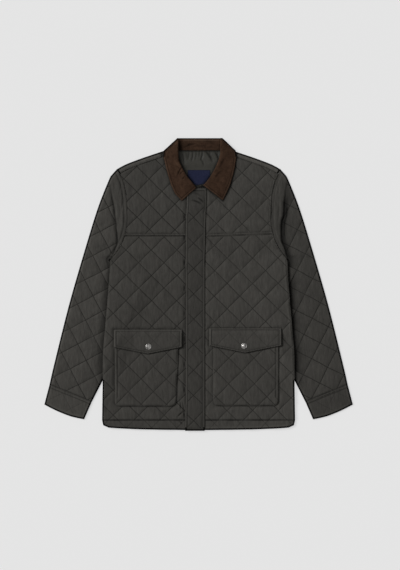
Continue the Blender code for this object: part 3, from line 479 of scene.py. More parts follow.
# %% Outlines of this jacket
SHOULDER, FORWARD = 300 * MM, 4.2 * MM  # above both of these the back panel wraps forward
COLLAR_TOP = 409.4 * MM
PLACKET_TOP = 268.7  # in mm, as the table below it
BODY_END = -395 * MM  # the outline's points below this are the hem
HEM_DROP, FLAP_DROP = 1.1 * MM, 1.4 * MM
OUTLINES = {node: outline(node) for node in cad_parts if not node.startswith("snap")}
back = joined_copy("back")
on_shoulder = [f for f in back.faces if f.normal.z > 0.3 and f.calc_center_median().y > SHOULDER]
STRIPS = border_loops([f for f in on_shoulder if f.calc_center_median().z > FORWARD])
back.free()
PLACKET_EDGES = (
    (-37.6, -409.4), (17.0, -409.4), (17.1, 53), (18.6, 110), (19.0, 157), (20.0, 192), (21.4, 221),
    (21.4, PLACKET_TOP), (-33.0, PLACKET_TOP), (-33.0, 221), (-35.2, 192), (-35.4, 100), (-36.4, 50),
    (-35.4, 0), (-35.6, -300),
)
OUTLINES["placket"] = np.array(PLACKET_EDGES) * MM
collar_mesh = joined_copy("collar")
LEAVES = border_loops([f for f in collar_mesh.faces if f.normal.z < -0.5])[:2]
collar_mesh.free()
for node, left, right, lean in (
    ("pocket_right", -234.4, -56.2, -6.2),
    ("pocket_left", 40.4, 224.0, 0),
    ("flap_right", -236.6, -46.2, 0),
):
    x, y = OUTLINES[node].T
    share = (x - x.min()) / (x.max() - x.min())
    down = np.clip((y.max() - y) / (y.max() - y.min()), 0, 1)
    OUTLINES[node][:, 0] = (left + share * (right + lean * down - left)) * MM
for node in ("front_left", "front_right"):
    OUTLINES[node][OUTLINES[node][:, 1] < BODY_END, 1] -= HEM_DROP
for node in ("flap_left", "flap_right"):
    loop = OUTLINES[node]
    loop[loop[:, 1] < loop[:, 1].mean(), 1] -= FLAP_DROP
print({node: len(loop) for node, loop in OUTLINES.items()}, "strips:", len(STRIPS))

# %% [markdown]
# ## Relief
# Every panel is a height above its plan. Quilting is the product of two profiles, one for each
# direction of lines: steep beside the thread and flat in the middle of a square. Real cloth is
# never that even, so smooth noise adds puckers beside the threads, ripples along the warp and a
# slow unevenness over the whole panel.


# %% Relief helpers
def noise(x, y, wide, long, seed):
    """Smooth unevenness between -1 and 1 whose bumps are so wide and so long."""
    u = x / (wide * MM) + 13.7 * seed
    v = y / (long * MM) + 5.3 * seed
    i, j = np.floor(u), np.floor(v)
    f, g = u - i, v - j
    f, g = f * f * (3 - 2 * f), g * g * (3 - 2 * g)

    def corner(a, b):
        whole = np.sin(a * 127.1 + b * 311.7 + seed * 74.7) * 43758.5453
        return (whole - np.floor(whole)) * 2 - 1

    low = corner(i, j) * (1 - f) + corner(i + 1, j) * f
    high = corner(i, j + 1) * (1 - f) + corner(i + 1, j + 1) * f
    return low * (1 - g) + high * g


def ease(distance, width):
    """0 at a line, 1 from a width on."""
    t = np.clip(distance / (width * MM), 0, 1)
    return t * t * (3 - 2 * t)


def trough(distance, width):
    return np.exp(-((distance / (width * MM)) ** 2))


def round_off(distance, width, depth):
    """How far a folded edge rolls down, as a quarter of a circle."""
    t = 1 - np.clip(distance / (width * MM), 0, 1)
    return depth * MM * (1 - np.sqrt(1 - np.minimum(t, 0.999) ** 2))


def arch(gap, row):
    """0 at an edge and at its row of thread, 1 midway: there the cloth stands up as a piping."""
    return np.sin(math.pi * np.clip(-gap / (row * MM), 0, 1))


def row_shade(gap, most):
    """How much painted shade lies in a row of thread that is sunk deep in the cloth."""
    return most * trough(gap, 1.25)


def sunk(gap, depth):
    """How deep a row of thread pulls the cloth down."""
    return depth * trough(gap, 1.6)


def rim_highlight(to_rim, most):
    """How much painted highlight lies just inside a folded edge."""
    return most * trough(to_rim - 7 * MM, 2.0)


def squares(quilt, x, y):
    """A place counted in quilted squares from the pattern's crossing."""
    angle = math.radians(quilt.turn + 45)
    dx, dy = x - quilt.x * MM, y - quilt.y * MM
    u = (dx * math.cos(angle) + dy * math.sin(angle)) / SQUARE
    v = (dy * math.cos(angle) - dx * math.sin(angle)) / SQUARE
    return u, v


print("relief helpers ready")


# %% Quilted relief
WOBBLE = 0.9 * MM / SQUARE  # how far a line of quilting strays, in squares
TIGHT = 3.4  # over what width the cloth rises from a thread, in mm


def sewn_squares(quilt, x, y):
    """The same, with the small wanderings of hand and machine."""
    u, v = squares(quilt, x, y)
    u = u + WOBBLE * (noise(x, y, 44, 38, quilt.x) + 0.4 * noise(x, y, 13, 12, quilt.y))
    v = v + WOBBLE * (noise(x, y, 38, 44, quilt.y) + 0.4 * noise(x, y, 12, 13, quilt.x))
    return u, v


def quilting(quilt, x, y, pucker=0.42):
    """The swelling of the squares, from 0 to about 1, and the puckers along their threads, in mm."""
    u, v = sewn_squares(quilt, x, y)
    swell = 1.0
    puckers = 0.0
    for across, along, seed in ((u, v, 1), (v, u, 2)):
        line = np.round(across)
        away = np.abs(across - line) * SQUARE
        dome = np.sin(math.pi * away / SQUARE)
        swell = swell * (0.6 * (1 - np.exp(-away / (TIGHT * MM))) + 0.4 * dome)
        ripple = noise(along * SQUARE, line * 37 * MM, 6.5, 9, seed)
        puckers = puckers + pucker * ripple * np.exp(-((away / (7 * MM)) ** 2)) * ease(away, 2.0)
    return swell, puckers


def slow_waves(x, y, seed, size=1.0):
    """The unevenness of cloth that lies loosely, in mm."""
    waves = 0.75 * noise(x, y, 95, 120, seed) + 0.40 * noise(x, y, 38, 60, seed + 3)
    ripples = 0.26 * noise(x, y, 7.5, 46, seed + 5) + 0.16 * noise(x, y, 5, 24, seed + 7)
    return size * (waves + ripples + 0.32 * noise(x, y, 8, 11, seed + 11))


print("quilted relief ready")

# %% [markdown]
# ## Creases
# The creases that give this jacket its character are listed one by one. Each row has the x and y of
# its start, the x and y of its end, its width and its depth. A negative depth is a ridge. They are
# where cloth is pushed together: round the sleeve heads, above the pocket flaps, beside the
# placket, at the elbows and at the snaps.

# %% Creases
CREASES = {
    "front_right": (
        (-41, 205, -43, 120, 3.4, 0.9), (-40, 110, -42, 20, 3.0, 0.8), (-43, 10, -40, -85, 3.6, 1.0),
        (-41, -95, -45, -190, 3.2, 1.2), (-44, -205, -41, -300, 3.6, 1.2),
        (-62, -376, -38, -353, 1.7, 2.6), (-62, -379, -38, -396, 1.6, 2.2),
        (-54, -322, -50, -354, 1.5, 2.0), (-57.5, -320, -54, -352, 1.5, -1.3),
        (-46.5, -326, -43, -352, 1.5, 2.0), (-43, -342, -40, -366, 1.6, 2.4),
        (-214, -92, -212, -118, 2.8, 0.6), (-186, -86, -189, -119, 3.2, 0.7),
        (-160, -95, -158, -120, 2.6, 0.6), (-128, -84, -131, -120, 3.0, -0.7),
        (-102, -94, -99, -121, 2.8, 0.7), (-74, -90, -77, -120, 3.0, 0.6), (-226, 60, -180, 28, 7.0, 0.9),
        (-238, 26, -196, 4, 6.0, -0.7), (-120, 118, -60, 60, 9.0, 0.5),
    ),
    "front_left": (
        (28, -70, 33, -160, 4.0, 0.7), (30, -180, 27, -262, 3.4, 0.8), (30, -292, 44, -352, 3.2, 1.1),
        (38, -346, 50, -372, 2.8, 0.9), (62, -92, 60, -124, 2.8, 0.6), (86, -84, 89, -124, 3.2, -0.7),
        (110, -94, 108, -125, 2.8, 0.7), (136, -88, 139, -125, 3.0, 0.6), (168, -92, 165, -125, 2.8, 0.6),
        (196, -96, 198, -124, 2.8, -0.6), (222, 62, 178, 30, 7.0, 0.9), (240, 20, 200, 2, 6.0, -0.6),
        (64, 110, 118, 58, 9.0, 0.5),
    ),
    "yoke_right": (
        (-188, 292, -192, 240, 5.0, 0.6), (-176, 236, -182, 184, 4.0, -0.5),
        (-64, 236, -60, 168, 4.5, 0.6), (-96, 300, -118, 262, 6.0, 0.5),
    ),
    "yoke_left": (
        (186, 290, 190, 236, 5.0, 0.6), (172, 232, 178, 180, 4.0, -0.5), (40, 236, 44, 176, 4.5, 0.5),
        (92, 262, 128, 226, 6.0, 0.5),
    ),
    "placket": (
        (-16, 257, 12, 244, 2.2, 0.9), (-21, 236, 11, 223, 1.6, 2.4), (-3, 243, 15, 228, 1.6, 2.6),
        (14.4, 252, 14.8, 196, 1.4, 1.8), (-8, 239, 12, 228, 1.8, -1.0), (-24, 212, -14, 196, 2.0, 0.4),
    ),
    "flap_right": (
        (-140, -158, -151, -134, 2.2, 0.5), (-140, -158, -134, -132, 2.0, 0.5),
        (-143, -160, -166, -140, 2.4, 0.4),
    ),
    "flap_left": (
        (127, -158, 119, -132, 2.2, 0.5), (127, -158, 136, -131, 2.0, 0.5),
        (124, -158, 100, -136, 2.4, 0.4),
    ),
    "sleeve_right": (
        (-219, 300, -222, 250, 2.0, 1.5), (-228, 296, -230, 262, 2.6, -0.8),
        (-215, 262, -216, 205, 2.0, 1.5), (-224, 236, -222, 176, 2.2, 1.4),
        (-236, 286, -238, 248, 2.6, 0.8), (-214, 196, -213, 140, 2.6, -0.7),
        (-250, 176, -300, 158, 6.0, 1.0), (-246, 118, -302, 98, 6.5, 1.1), (-254, 44, -300, 30, 5.0, 1.0),
        (-262, -20, -318, -34, 6.0, 0.9), (-268, -92, -330, -104, 5.0, 0.8),
        (-276, -170, -330, -190, 5.0, 0.8), (-344, -300, -356, -250, 5.0, 0.6),
    ),
    "sleeve_left": (
        (219, 300, 222, 250, 2.0, 1.3), (230, 294, 231, 258, 2.6, -0.8), (214, 258, 215, 200, 2.0, 1.1),
        (224, 230, 221, 172, 2.2, 1.2), (237, 282, 239, 246, 2.6, 0.8), (213, 190, 213, 136, 2.6, -0.7),
        (250, 170, 304, 150, 6.0, 1.0), (246, 112, 298, 94, 6.5, 1.1), (252, 52, 292, 44, 5.5, 1.3),
        (256, 2, 300, -6, 6.0, 1.3), (260, -52, 302, -62, 5.5, 1.2), (264, -112, 312, -124, 6.0, 1.1),
        (270, -182, 322, -196, 5.0, 0.9),
    ),
}


def creased(node, x, y):
    """The depth of a panel's creases, in mm. Each is deepest in its middle and fades to its ends."""
    total = np.zeros(len(x))
    for x0, y0, x1, y1, width, depth in CREASES.get(node, ()):
        start = np.array((x0, y0)) * MM
        run = np.array((x1, y1)) * MM - start
        t = ((x - start[0]) * run[0] + (y - start[1]) * run[1]) / (run @ run)
        bend = 0.06 * math.hypot(*run) * np.sin(math.pi * t)
        across = ((x - start[0]) * run[1] - (y - start[1]) * run[0]) / math.hypot(*run) + bend
        taper = np.clip(np.sin(math.pi * np.clip(t, 0, 1)), 0, 1) ** 0.7
        total += depth * trough(across, width) * taper
    return total


print("creases:", sum(len(rows) for rows in CREASES.values()))

# %% [markdown]
# ## A panel of cloth
# A grid primitive is added so that its lines fall on the quilting. The faces outside the outline
# are deleted and the border is drawn onto the outline. Then the flat cloth is extruded once, which
# closes it all round, and its upper points take the relief while its lower points keep the plain
# underside of the solid. The flat underside needs few faces, so it is dissolved again.


# %% Edit mode and points
def deselect():
    if bpy.context.object and bpy.context.object.mode != "OBJECT":
        bpy.ops.object.mode_set(mode="OBJECT")
    bpy.ops.object.select_all(action="DESELECT")


def activate(item):
    deselect()
    item.select_set(True)
    bpy.context.view_layer.objects.active = item


def select_faces(item, mask):
    """Goes into edit mode with exactly these faces selected."""
    activate(item)
    mesh = item.data
    mesh.vertices.foreach_set("select", np.zeros(len(mesh.vertices), bool))
    mesh.edges.foreach_set("select", np.zeros(len(mesh.edges), bool))
    mesh.polygons.foreach_set("select", np.asarray(mask, bool))
    bpy.context.tool_settings.mesh_select_mode = (False, False, True)
    bpy.ops.object.mode_set(mode="EDIT")


def read_points(item):
    points = np.zeros(len(item.data.vertices) * 3, np.float32)
    item.data.vertices.foreach_get("co", points)
    return points.reshape(-1, 3).astype(float)


def write_points(item, points):
    item.data.vertices.foreach_set("co", points.astype(np.float32).ravel())
    item.data.update()


def face_centres(item):
    centres = np.zeros(len(item.data.polygons) * 3, np.float32)
    item.data.polygons.foreach_get("center", centres)
    return centres.reshape(-1, 3)


print("point helpers ready")


# %% A flat panel
def border_verts(item):
    """The numbers of the points on the border of an open mesh."""
    pairs = np.array([edge_key for polygon in item.data.polygons for edge_key in polygon.edge_keys])
    edges, uses = np.unique(pairs, axis=0, return_counts=True)
    return np.unique(edges[uses == 1])


def onto_line(points, loop):
    """Each place moved to the nearest place on a closed line, and its sharp corners kept."""
    x, y = points.T
    best = np.full(len(x), np.inf)
    moved = points.copy()
    for p, q in closed(loop):
        d = q - p
        t = np.clip(((x - p[0]) * d[0] + (y - p[1]) * d[1]) / (d @ d), 0, 1)
        place = p + t[:, None] * d
        gap = np.hypot(x - place[:, 0], y - place[:, 1])
        closer = gap < best
        best[closer] = gap[closer]
        moved[closer] = place[closer]
    for before, corner, after in zip(np.roll(loop, 1, axis=0), loop, np.roll(loop, -1, axis=0)):
        first, second = corner - before, after - corner
        turn = first[0] * second[1] - first[1] * second[0]
        if abs(turn) > 0.35 * math.hypot(*first) * math.hypot(*second):
            moved[np.argmin(np.hypot(x - corner[0], y - corner[1]))] = corner
    return moved


def flat_panel(name, loop, quilt, cells=CELLS):
    """A flat grid along the quilting, cut to an outline."""
    u, v = squares(quilt, *loop.T)
    low_u, high_u = math.floor(u.min()), math.ceil(u.max())
    low_v, high_v = math.floor(v.min()), math.ceil(v.max())
    angle = math.radians(quilt.turn + 45)
    middle_u, middle_v = (low_u + high_u) / 2 * SQUARE, (low_v + high_v) / 2 * SQUARE
    centre = Vector((quilt.x * MM, quilt.y * MM, 0))
    centre.x += middle_u * math.cos(angle) - middle_v * math.sin(angle)
    centre.y += middle_u * math.sin(angle) + middle_v * math.cos(angle)
    deselect()
    bpy.ops.mesh.primitive_grid_add(
        x_subdivisions=(high_u - low_u) * cells,
        y_subdivisions=(high_v - low_v) * cells,
        size=1,
        location=centre,
        rotation=(0, 0, angle),
    )
    item = bpy.context.object
    item.scale = ((high_u - low_u) * SQUARE, (high_v - low_v) * SQUARE, 1)
    item.name = item.data.name = name
    bpy.ops.object.transform_apply(location=True, rotation=True, scale=True)
    centres = face_centres(item)
    select_faces(item, ~inside(loop, centres[:, 0], centres[:, 1]))
    bpy.ops.mesh.delete(type="FACE")
    bpy.ops.object.mode_set(mode="OBJECT")
    points = read_points(item)
    rim = border_verts(item)
    points[rim, :2] = onto_line(points[rim, :2], loop)
    write_points(item, points)
    return item


print("flat panels ready")


# %% The heights of a solid
def height_of(item, above=False):
    """A function that gives the height of a mesh's underside, or of its top, at many places."""
    data = item.data
    tree = BVHTree.FromPolygons([v.co for v in data.vertices], [tuple(p.vertices) for p in data.polygons])
    start, aim = (1.0, Vector((0, 0, -1))) if above else (-1.0, Vector((0, 0, 1)))

    def height(x, y):
        found = np.zeros(len(x))
        for k, place in enumerate(zip(x, y)):
            hit = tree.ray_cast(Vector((*place, start)), aim)[0]
            if hit is None:
                hit = tree.find_nearest(Vector((*place, 0.01)))[0]
            found[k] = hit.z
        return found

    return height


def underside(node):
    return height_of(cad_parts[node])


def topside(node):
    return height_of(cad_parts[node], above=True)


def on_floor(x, y):
    return np.zeros(len(x))


print("heights ready")

# %% A closed panel
Shape = namedtuple("Shape", "height gap rim quilted deep")
FAR = 0.1  # a distance that is past every row and edge


def carry(item, attributes, chosen):
    """Gives chosen points their attributes; the others are far from every line."""
    for name, values in attributes.items():
        spread = np.full(len(chosen), FAR if name.endswith("gap") else 0.0, np.float32)
        spread[chosen] = values
        item.data.attributes.new(name, "FLOAT", "POINT").data.foreach_set("value", spread)


def closed_panel(name, loop, quilt, base, relief, cells=CELLS):
    """A closed piece of cloth. base gives its underside, relief the cloth above that."""
    item = flat_panel(name, loop, quilt, cells)
    select_faces(item, np.ones(len(item.data.polygons)))
    bpy.ops.mesh.extrude_region_move(TRANSFORM_OT_translate={"value": (0, 0, 1.0)})
    bpy.ops.object.mode_set(mode="OBJECT")
    points = read_points(item)
    upper = points[:, 2] > 0.5
    x, y = points[:, 0], points[:, 1]
    points[~upper, 2] = base(x[~upper], y[~upper])
    shape = relief(x[upper], y[upper])
    points[upper, 2] = base(x[upper], y[upper]) + shape.height * MM
    write_points(item, points)
    u, v = sewn_squares(quilt, x[upper], y[upper])
    carried = {"stitch_gap": shape.gap, "rim_gap": shape.rim, "quilted": shape.quilted}
    carry(item, {**carried, "deep": shape.deep, "square_u": u, "square_v": v}, upper)
    lower_face = np.array([not upper[list(p.vertices)].any() for p in item.data.polygons])
    select_faces(item, lower_face)
    bpy.ops.mesh.dissolve_limited(angle_limit=math.radians(0.05))
    bpy.ops.mesh.select_all(action="SELECT")
    bpy.ops.mesh.normals_make_consistent(inside=False)
    bpy.ops.object.mode_set(mode="OBJECT")
    bpy.ops.object.shade_smooth_by_angle(angle=math.radians(50))
    print(f"{name}: {len(item.data.polygons)} faces")
    return item


print("closed panels ready")


# %% Dressing a piece
def dress(item, node, slot, material, cut=None, area=None):
    """Gives a piece its material, hides the solid that it stands for and hangs it from the root."""
    item.data.materials.clear()
    item.data.materials.append(material)
    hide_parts(node)
    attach(item, "root")


def polygon_area(loop):
    x, y = loop.T
    return abs(np.sum(x * np.roll(y, -1) - y * np.roll(x, -1))) / 2


def cut_of(loop, sides=1):
    """Width, length and area that a piece was cut to; a tube has two sides."""
    width, length = loop.max(axis=0) - loop.min(axis=0)
    return (float(width * sides), float(length)), float(polygon_area(loop) * sides)


def sew(prefix, node, slot, quilt, relief, loop=None):
    """Makes the cloth of a panel that lies on its solid's underside, and dresses it."""
    loop = OUTLINES[node] if loop is None else loop
    piece = closed_panel(prefix + node, loop, QUILTS[quilt], underside(node), relief)
    dress(piece, node, slot, shell_cloth[node], *cut_of(OUTLINES[node]))


print("ready to sew")

# %% [markdown]
# ## Seams
# The body's panels meet at seams that are pressed flat and stitched down beside them, so a seam
# shows as a narrow flat band between two rows of thread. A Seam holds the stretches of an outline
# that meet certain neighbours, how far in the row of thread runs, and how deep the cloth dips where
# the panels meet: the yoke seam is flush, an armhole seam is a groove. What meets nothing is a
# folded edge, and rolls down.

# %% Seams
WALL = 2.6  # height of the flat cloth, in mm
PUFF = 2.58  # how far the middle of a quilted square stands above it
FLUSH = 0.25 * MM  # how far a flush panel reaches over the gap between the solids
Seam = namedtuple("Seam", "edges row dip")


class Borders:
    """The seams and folds round one panel."""

    def __init__(self, node, *neighbours):
        self.loop = OUTLINES[node]
        segments = closed(self.loop)
        free = np.full(len(segments), True)
        self.joined = np.full(len(segments), False)
        reach = np.zeros(len(segments))
        self.seams = []
        for others, row, dip in neighbours:
            joined = meets(self.loop, others, 6 if others is STRIPS else 1.6) & free
            free &= ~joined
            self.joined |= joined
            reach[joined] = -FLUSH
            self.seams.append(Seam(Edges(segments[joined]), row * MM, dip))
        self.folds = Edges(segments[free])
        self.cut_loop = inset(self.loop, reach)

    def near(self, x, y):
        """The distance to the rows of thread, negative beyond them, to the seams and to the folds."""
        gap = np.full(len(x), 1.0)
        to_seam = np.full(len(x), 1.0)
        along = np.zeros(len(x))
        self.dip = np.zeros(len(x))
        for seam in self.seams:
            if len(seam.edges.segments):
                away, place = seam.edges.near(x, y)
                along = np.where(away < to_seam, place, along)
                to_seam = np.minimum(to_seam, away)
                gap = np.minimum(gap, away - seam.row)
                self.dip = np.maximum(self.dip, seam.dip * trough(away, 1.7))
        to_fold = self.folds.near(x, y)[0] if len(self.folds.segments) else np.full(len(x), 1.0)
        return gap, to_seam, along, to_fold


print("borders ready")

# %% Pressed flat
BESIDE = {"pocket_left": 0.32, "flap_left": 0.55, "flap_right": 0.5}  # how much painted shadow lies beside each
BESIDE_OTHERS = 0.52


def pressed(x, y, nodes, width=9):
    """0 under the pieces that lie on a panel and 1 away from them, and how much painted shadow lies
    beside them.
    """
    left = np.ones(len(x))
    dark = np.zeros(len(x))
    for node in nodes:
        loop = OUTLINES[node]
        away, _ = Edges(closed(loop)).near(x, y)
        under = inside(loop, x, y)
        left = np.minimum(left, np.where(under, 0, ease(away, width)))
        above = 1 + 0.5 * (y > loop[:, 1].max()) * node.startswith("flap")
        shade = BESIDE.get(node, BESIDE_OTHERS) * above * trough(away, 2.4)
        dark = np.maximum(dark, np.where(under, 0, shade))
    return left, dark


print("beside a piece on top:", BESIDE)

# %% [markdown]
# ## Fronts and yokes
# Where a pocket, flap or placket lies on a panel, that part is pressed flat, and a painted shadow
# lies round it. Beside the placket's free edge the squares that it cuts off bulge against it, and
# each leaves a short pinch, dipped and darkened with painted shade.

# %% Sizes of the body
YOKE_ROW = 3.6
SEAM_LINE = 0.5  # where no thread runs beside a seam, the seam itself is the line
ARMHOLE_DIP = 0.35
HEM_LINE = -379.6 * MM
PINCH_X = -39.5 * MM
BULGE_X = -44 * MM  # the line where the squares bulge against the placket
COLLAR_UNDER = 5.5  # the most that a yoke may rise under the collar, in mm
BARE_SIDE = -272 * MM  # above this the body's sides lie on the sleeves
NECK_MIDDLE, NECK_WIDTH = 3.3 * MM, 60 * MM
LINES = {"yoke_right": 1.3, "front_right": 1.12}  # how strong the lines of quilting and their painted shade are on the lit side
LEAF_DARK = {"left": 0.85, "right": 0.45}  # how much painted shadow lies beside the collar's leaves
print(f"hem line at y {HEM_LINE / MM:.0f} mm")


# %% Relief of the body
def pinches(quilt, x, y):
    """Short troughs beside the placket, level with the crossings that it hides."""
    phase = (y - quilt.y * MM) / (SQUARE * math.sqrt(2)) + 0.5
    off = (phase - np.round(phase)) * SQUARE * math.sqrt(2)
    deep = 1.0 + 0.5 * noise(y, 0 * y, 70, 1, 41)
    return deep * trough(x - PINCH_X, 2.2) * trough(off, 8)


def body_relief(node, borders, on_top, seed, side):
    quilt = QUILTS[node]

    def relief(x, y):
        gap, to_seam, along, to_fold = borders.near(x, y)
        gap = np.minimum(gap, y - HEM_LINE)
        free, dark = pressed(x, y, on_top)
        swell, puckers = quilting(quilt, x, y)
        edge = ease(gap, 4) * ease(to_fold, 8)
        height = WALL + free * (edge * PUFF * swell + puckers * ease(gap, 4))
        height += free * ease(to_seam, 10) * slow_waves(x, y, seed)
        height -= np.minimum(1.0, 0.2 + free) * creased(node, x, y)
        height += free * 0.40 * noise(along, 0 * x, 7, 1, seed) * trough(gap - 4 * MM, 4)
        height += 0.25 * ease(-gap, 2) * free
        height -= sunk(gap, 0.14) * (to_seam > 0.8 * MM) + borders.dip
        height -= round_off(to_fold, 7, 2.1) / MM
        # Painted shade: a shadow beside the pieces on top, in the hem's row and in deep creases; below 0,
        # a painted highlight inside the folded edge and along the yoke seam's rows.
        deep = dark * (0.75 + 0.4 * noise(x, y, 18, 18, seed + 2))
        deep = np.maximum(deep, trough(y - HEM_LINE, 1.8) * (0.9 + 0.4 * noise(x, y, 16, 99, seed)))
        shut = np.clip(creased(node, x, y) - 0.8, 0, 1.8)
        deep = np.maximum(deep, 0.45 * shut * np.minimum(1, 0.3 + free))
        deep = deep - rim_highlight(to_fold, 0.26) - 0.18 * arch(gap, YOKE_ROW) * (gap > -YOKE_ROW * MM)
        # Each pinch is dipped and darkened with painted shade.
        if side == "right":
            pinch = pinches(quilt, x, y)
            height -= 1.7 * pinch
            deep = np.maximum(deep, 0.6 * np.minimum(pinch, 1.3))
        if node.startswith("yoke"):
            # Painted shadow beside the collar's leaves, and painted shade in the neck above the placket.
            deep = np.maximum(deep, LEAF_DARK[side] * trough(edges_of(LEAVES).near(x, y)[0], 3.4))
            in_neck = np.abs(x - NECK_MIDDLE) < NECK_WIDTH / 2
            deep = np.maximum(deep, 0.9 * ease(y - PLACKET_TOP * MM, 1.5) * in_neck)
            under_collar = inside(LEAVES[0], x, y) | inside(LEAVES[1], x, y)
            height = np.where(under_collar, np.minimum(height, COLLAR_UNDER), height)
        past_row = np.where(y < HEM_LINE, 0.6, 0.2)
        quilted = (past_row + (1 - past_row) * ease(gap + 0.5 * MM, 1)) * ease(to_fold, 5)
        if side == "right":
            quilted = quilted * (LINES[node] + 0.6 * trough(x - BULGE_X, 20))
        rim = to_fold + 8 * MM * ease(y - BARE_SIDE, 16)
        return Shape(np.maximum(height, 0.5), gap, rim, quilted, np.clip(deep, -0.5, 0.9))

    return relief


print("body relief ready")

# %% Fronts and yokes
for side in ("left", "right"):
    yoke, front, sleeve = "yoke_" + side, "front_" + side, "sleeve_" + side
    armhole = ([OUTLINES[sleeve]], SEAM_LINE, ARMHOLE_DIP)
    shoulder = (STRIPS, SEAM_LINE, 0.15)
    on_front = ["placket", "pocket_" + side, "flap_" + side]
    parts = (
        (yoke, [([OUTLINES[front]], YOKE_ROW, 0), armhole, shoulder], ["placket"]),
        (front, [([OUTLINES[yoke]], YOKE_ROW, 0), armhole], on_front),
    )
    for seed, (node, neighbours, on_top) in enumerate(parts):
        borders = Borders(node, *neighbours)
        relief = body_relief(node, borders, on_top, 11 + 4 * seed + (side == "left"), side)
        sew("quilted_", node, "shell", node, relief, borders.cut_loop)

# %% [markdown]
# ## Back
# Only two strips of the back panel show: it wraps 14 mm forward over each shoulder. Its solid
# already has the right shape, so a joined copy of it is used, and only those strips are divided
# finely and made uneven.


# %% Back
def copy_of(node, name):
    """A joined copy of a node's mesh as a new object."""
    mesh = joined_copy(node)
    data = bpy.data.meshes.new(name)
    mesh.to_mesh(data)
    mesh.free()
    item = bpy.data.objects.new(name, data)
    bpy.context.scene.collection.objects.link(item)
    return item


STRIP_CUTS = 6
STRIP_LOW = 5.4  # height where it meets the yoke, in mm
STRIP_BULGE = 1.3
back = copy_of("back", "quilted_back")
faces = back.data.polygons
select_faces(back, [p.normal.z > 0.3 and p.center.z > FORWARD and p.center.y > SHOULDER for p in faces])
bpy.ops.mesh.subdivide(number_cuts=STRIP_CUTS, quadcorner="INNERVERT")
bpy.ops.object.mode_set(mode="OBJECT")
points = read_points(back)
chosen = np.array([v.select for v in back.data.vertices])
x, y = points[chosen, 0], points[chosen, 1]
to_rim = Edges(closed(OUTLINES["back"])).near(x, y)[0]
to_yoke = edges_of([OUTLINES["yoke_left"], OUTLINES["yoke_right"]]).near(x, y)[0]
height = STRIP_LOW + STRIP_BULGE * ease(to_yoke, 6) - round_off(to_rim, 6, 2.6) / MM
height += ease(to_rim, 4) * (0.45 * noise(x, y, 6, 40, 51) + 0.35 * noise(x, y, 22, 60, 52))
points[chosen, 2] = height * MM
write_points(back, points)
carry(back, {"stitch_gap": FAR, "rim_gap": to_rim, "quilted": 0.0, "deep": 0.0}, chosen)
activate(back)
bpy.ops.object.shade_smooth_by_angle(angle=math.radians(35))
dress(back, "back", "shell", shell_cloth["back"], *cut_of(OUTLINES["back"]))
print("quilted_back:", len(back.data.polygons), "faces")

# %% [markdown]
# ## Sleeves
# A sleeve lies beside and partly behind the body, pressed flat. Round its head the cloth folds
# over, and the fold is the deepest shadow on the jacket, partly from its shape and partly painted
# shade: the band between it and the armhole seam stands above it, and dark notches mark where the
# sleeve's quilting runs into it. Beside the body the sleeve dips out of the light, and painted shade
# darkens it there, with darker notches where its quilting runs in behind the body. A sleeve is a
# tube, so a thin slot is cut through it from the armhole to the cuff.

# %% Sizes of the sleeves
SLEEVE_FLAT = 5.6
HEAD_BAND = 8.6  # height of the band round the sleeve head
RECESS = 3.2  # height of the cloth in the fold and beside the body
RECESS_WIDTH = {"left": 14, "right": 6}  # the far side of the body from the light is pushed in more
SLOT_LOW, SLOT_HIGH = 2.2, 2.6
SLOT_EDGE = 2.8
SLEEVE_ROW = 8.1
CUFF_ROW = 4.0
FOLDS = {
    "left": (
        (246.5, 284), (240.5, 228), (239, 195), (233.5, 175), (232.5, 142), (234.6, 120), (240.5, 105),
        (250, 72),
    ),
    "right": (
        (249, 282), (246.5, 270), (237, 215), (234, 192), (231, 162), (228.5, 141), (228, 116), (240, 86),
    ),
}
# how much painted shade lies in each sleeve's fold
FOLD_DARK = {"left": 0.97, "right": 0.76}
FOLD_CORE = {"left": 2.8, "right": 2.0}  # width of the darkest part of the fold's painted shade
BODY_DARK = {"left": 0.90, "right": 0.52}  # how dark its painted shade is, how wide, and how deep a sleeve dips beside the body
BODY_WIDTH = {"left": 18.0, "right": 12.0}
BODY_DEPTH = {"left": 1.0, "right": 0.45}
NOTCH_DARK = {"left": 0.85, "right": 0.45}  # how much painted shade lies where a line of quilting runs in behind the body
UNDERARM = 68 * MM
BESIDE_TOP = UNDERARM + 12 * MM  # a sleeve lies beside the body below this
CROWN = 2.2
RISE, RAMP = 5.9, 40  # how far the sleeve behind it lifts the body, and over what width
TUCK_CORNERS = ((247.5, 68), (150, 20), (268.4, -268.9))  # the part behind the body, with its underarm
CUFF_SEAM_TOP = -200 * MM
print("fold points:", {side: len(places) for side, places in FOLDS.items()})


# %% Curves and lifts
def smooth_line(places, steps=8):
    """A curve through some places, in metres."""
    places = np.array(places, float) * MM
    padded = np.vstack([2 * places[0] - places[1], places, 2 * places[-1] - places[-2]])
    line = []
    for a, b, c, d in zip(padded, padded[1:], padded[2:], padded[3:]):
        for t in np.linspace(0, 1, steps, endpoint=False):
            square, cube = 2 * a - 5 * b + 4 * c - d, 3 * b - a - 3 * c + d
            line.append(0.5 * (2 * b + (c - a) * t + square * t**2 + cube * t**3))
    line.append(padded[-2])
    return np.array(line)


def chain(line):
    return np.stack([line[:-1], line[1:]], axis=1)


def body_rise(x, y):
    """How far the body is lifted by the sleeve behind it, in mm."""
    high, middle, low = (np.array(corner) * MM for corner in TUCK_CORNERS)
    outside = np.zeros(len(x))
    for start, end in ((high, middle), (middle, low)):
        run = (end - start) / np.linalg.norm(end - start)
        outside = np.maximum(outside, (np.abs(x) - start[0]) * -run[1] + (y - start[1]) * run[0])
    return RISE * np.clip(1 - outside / (RAMP * MM), 0, 1)


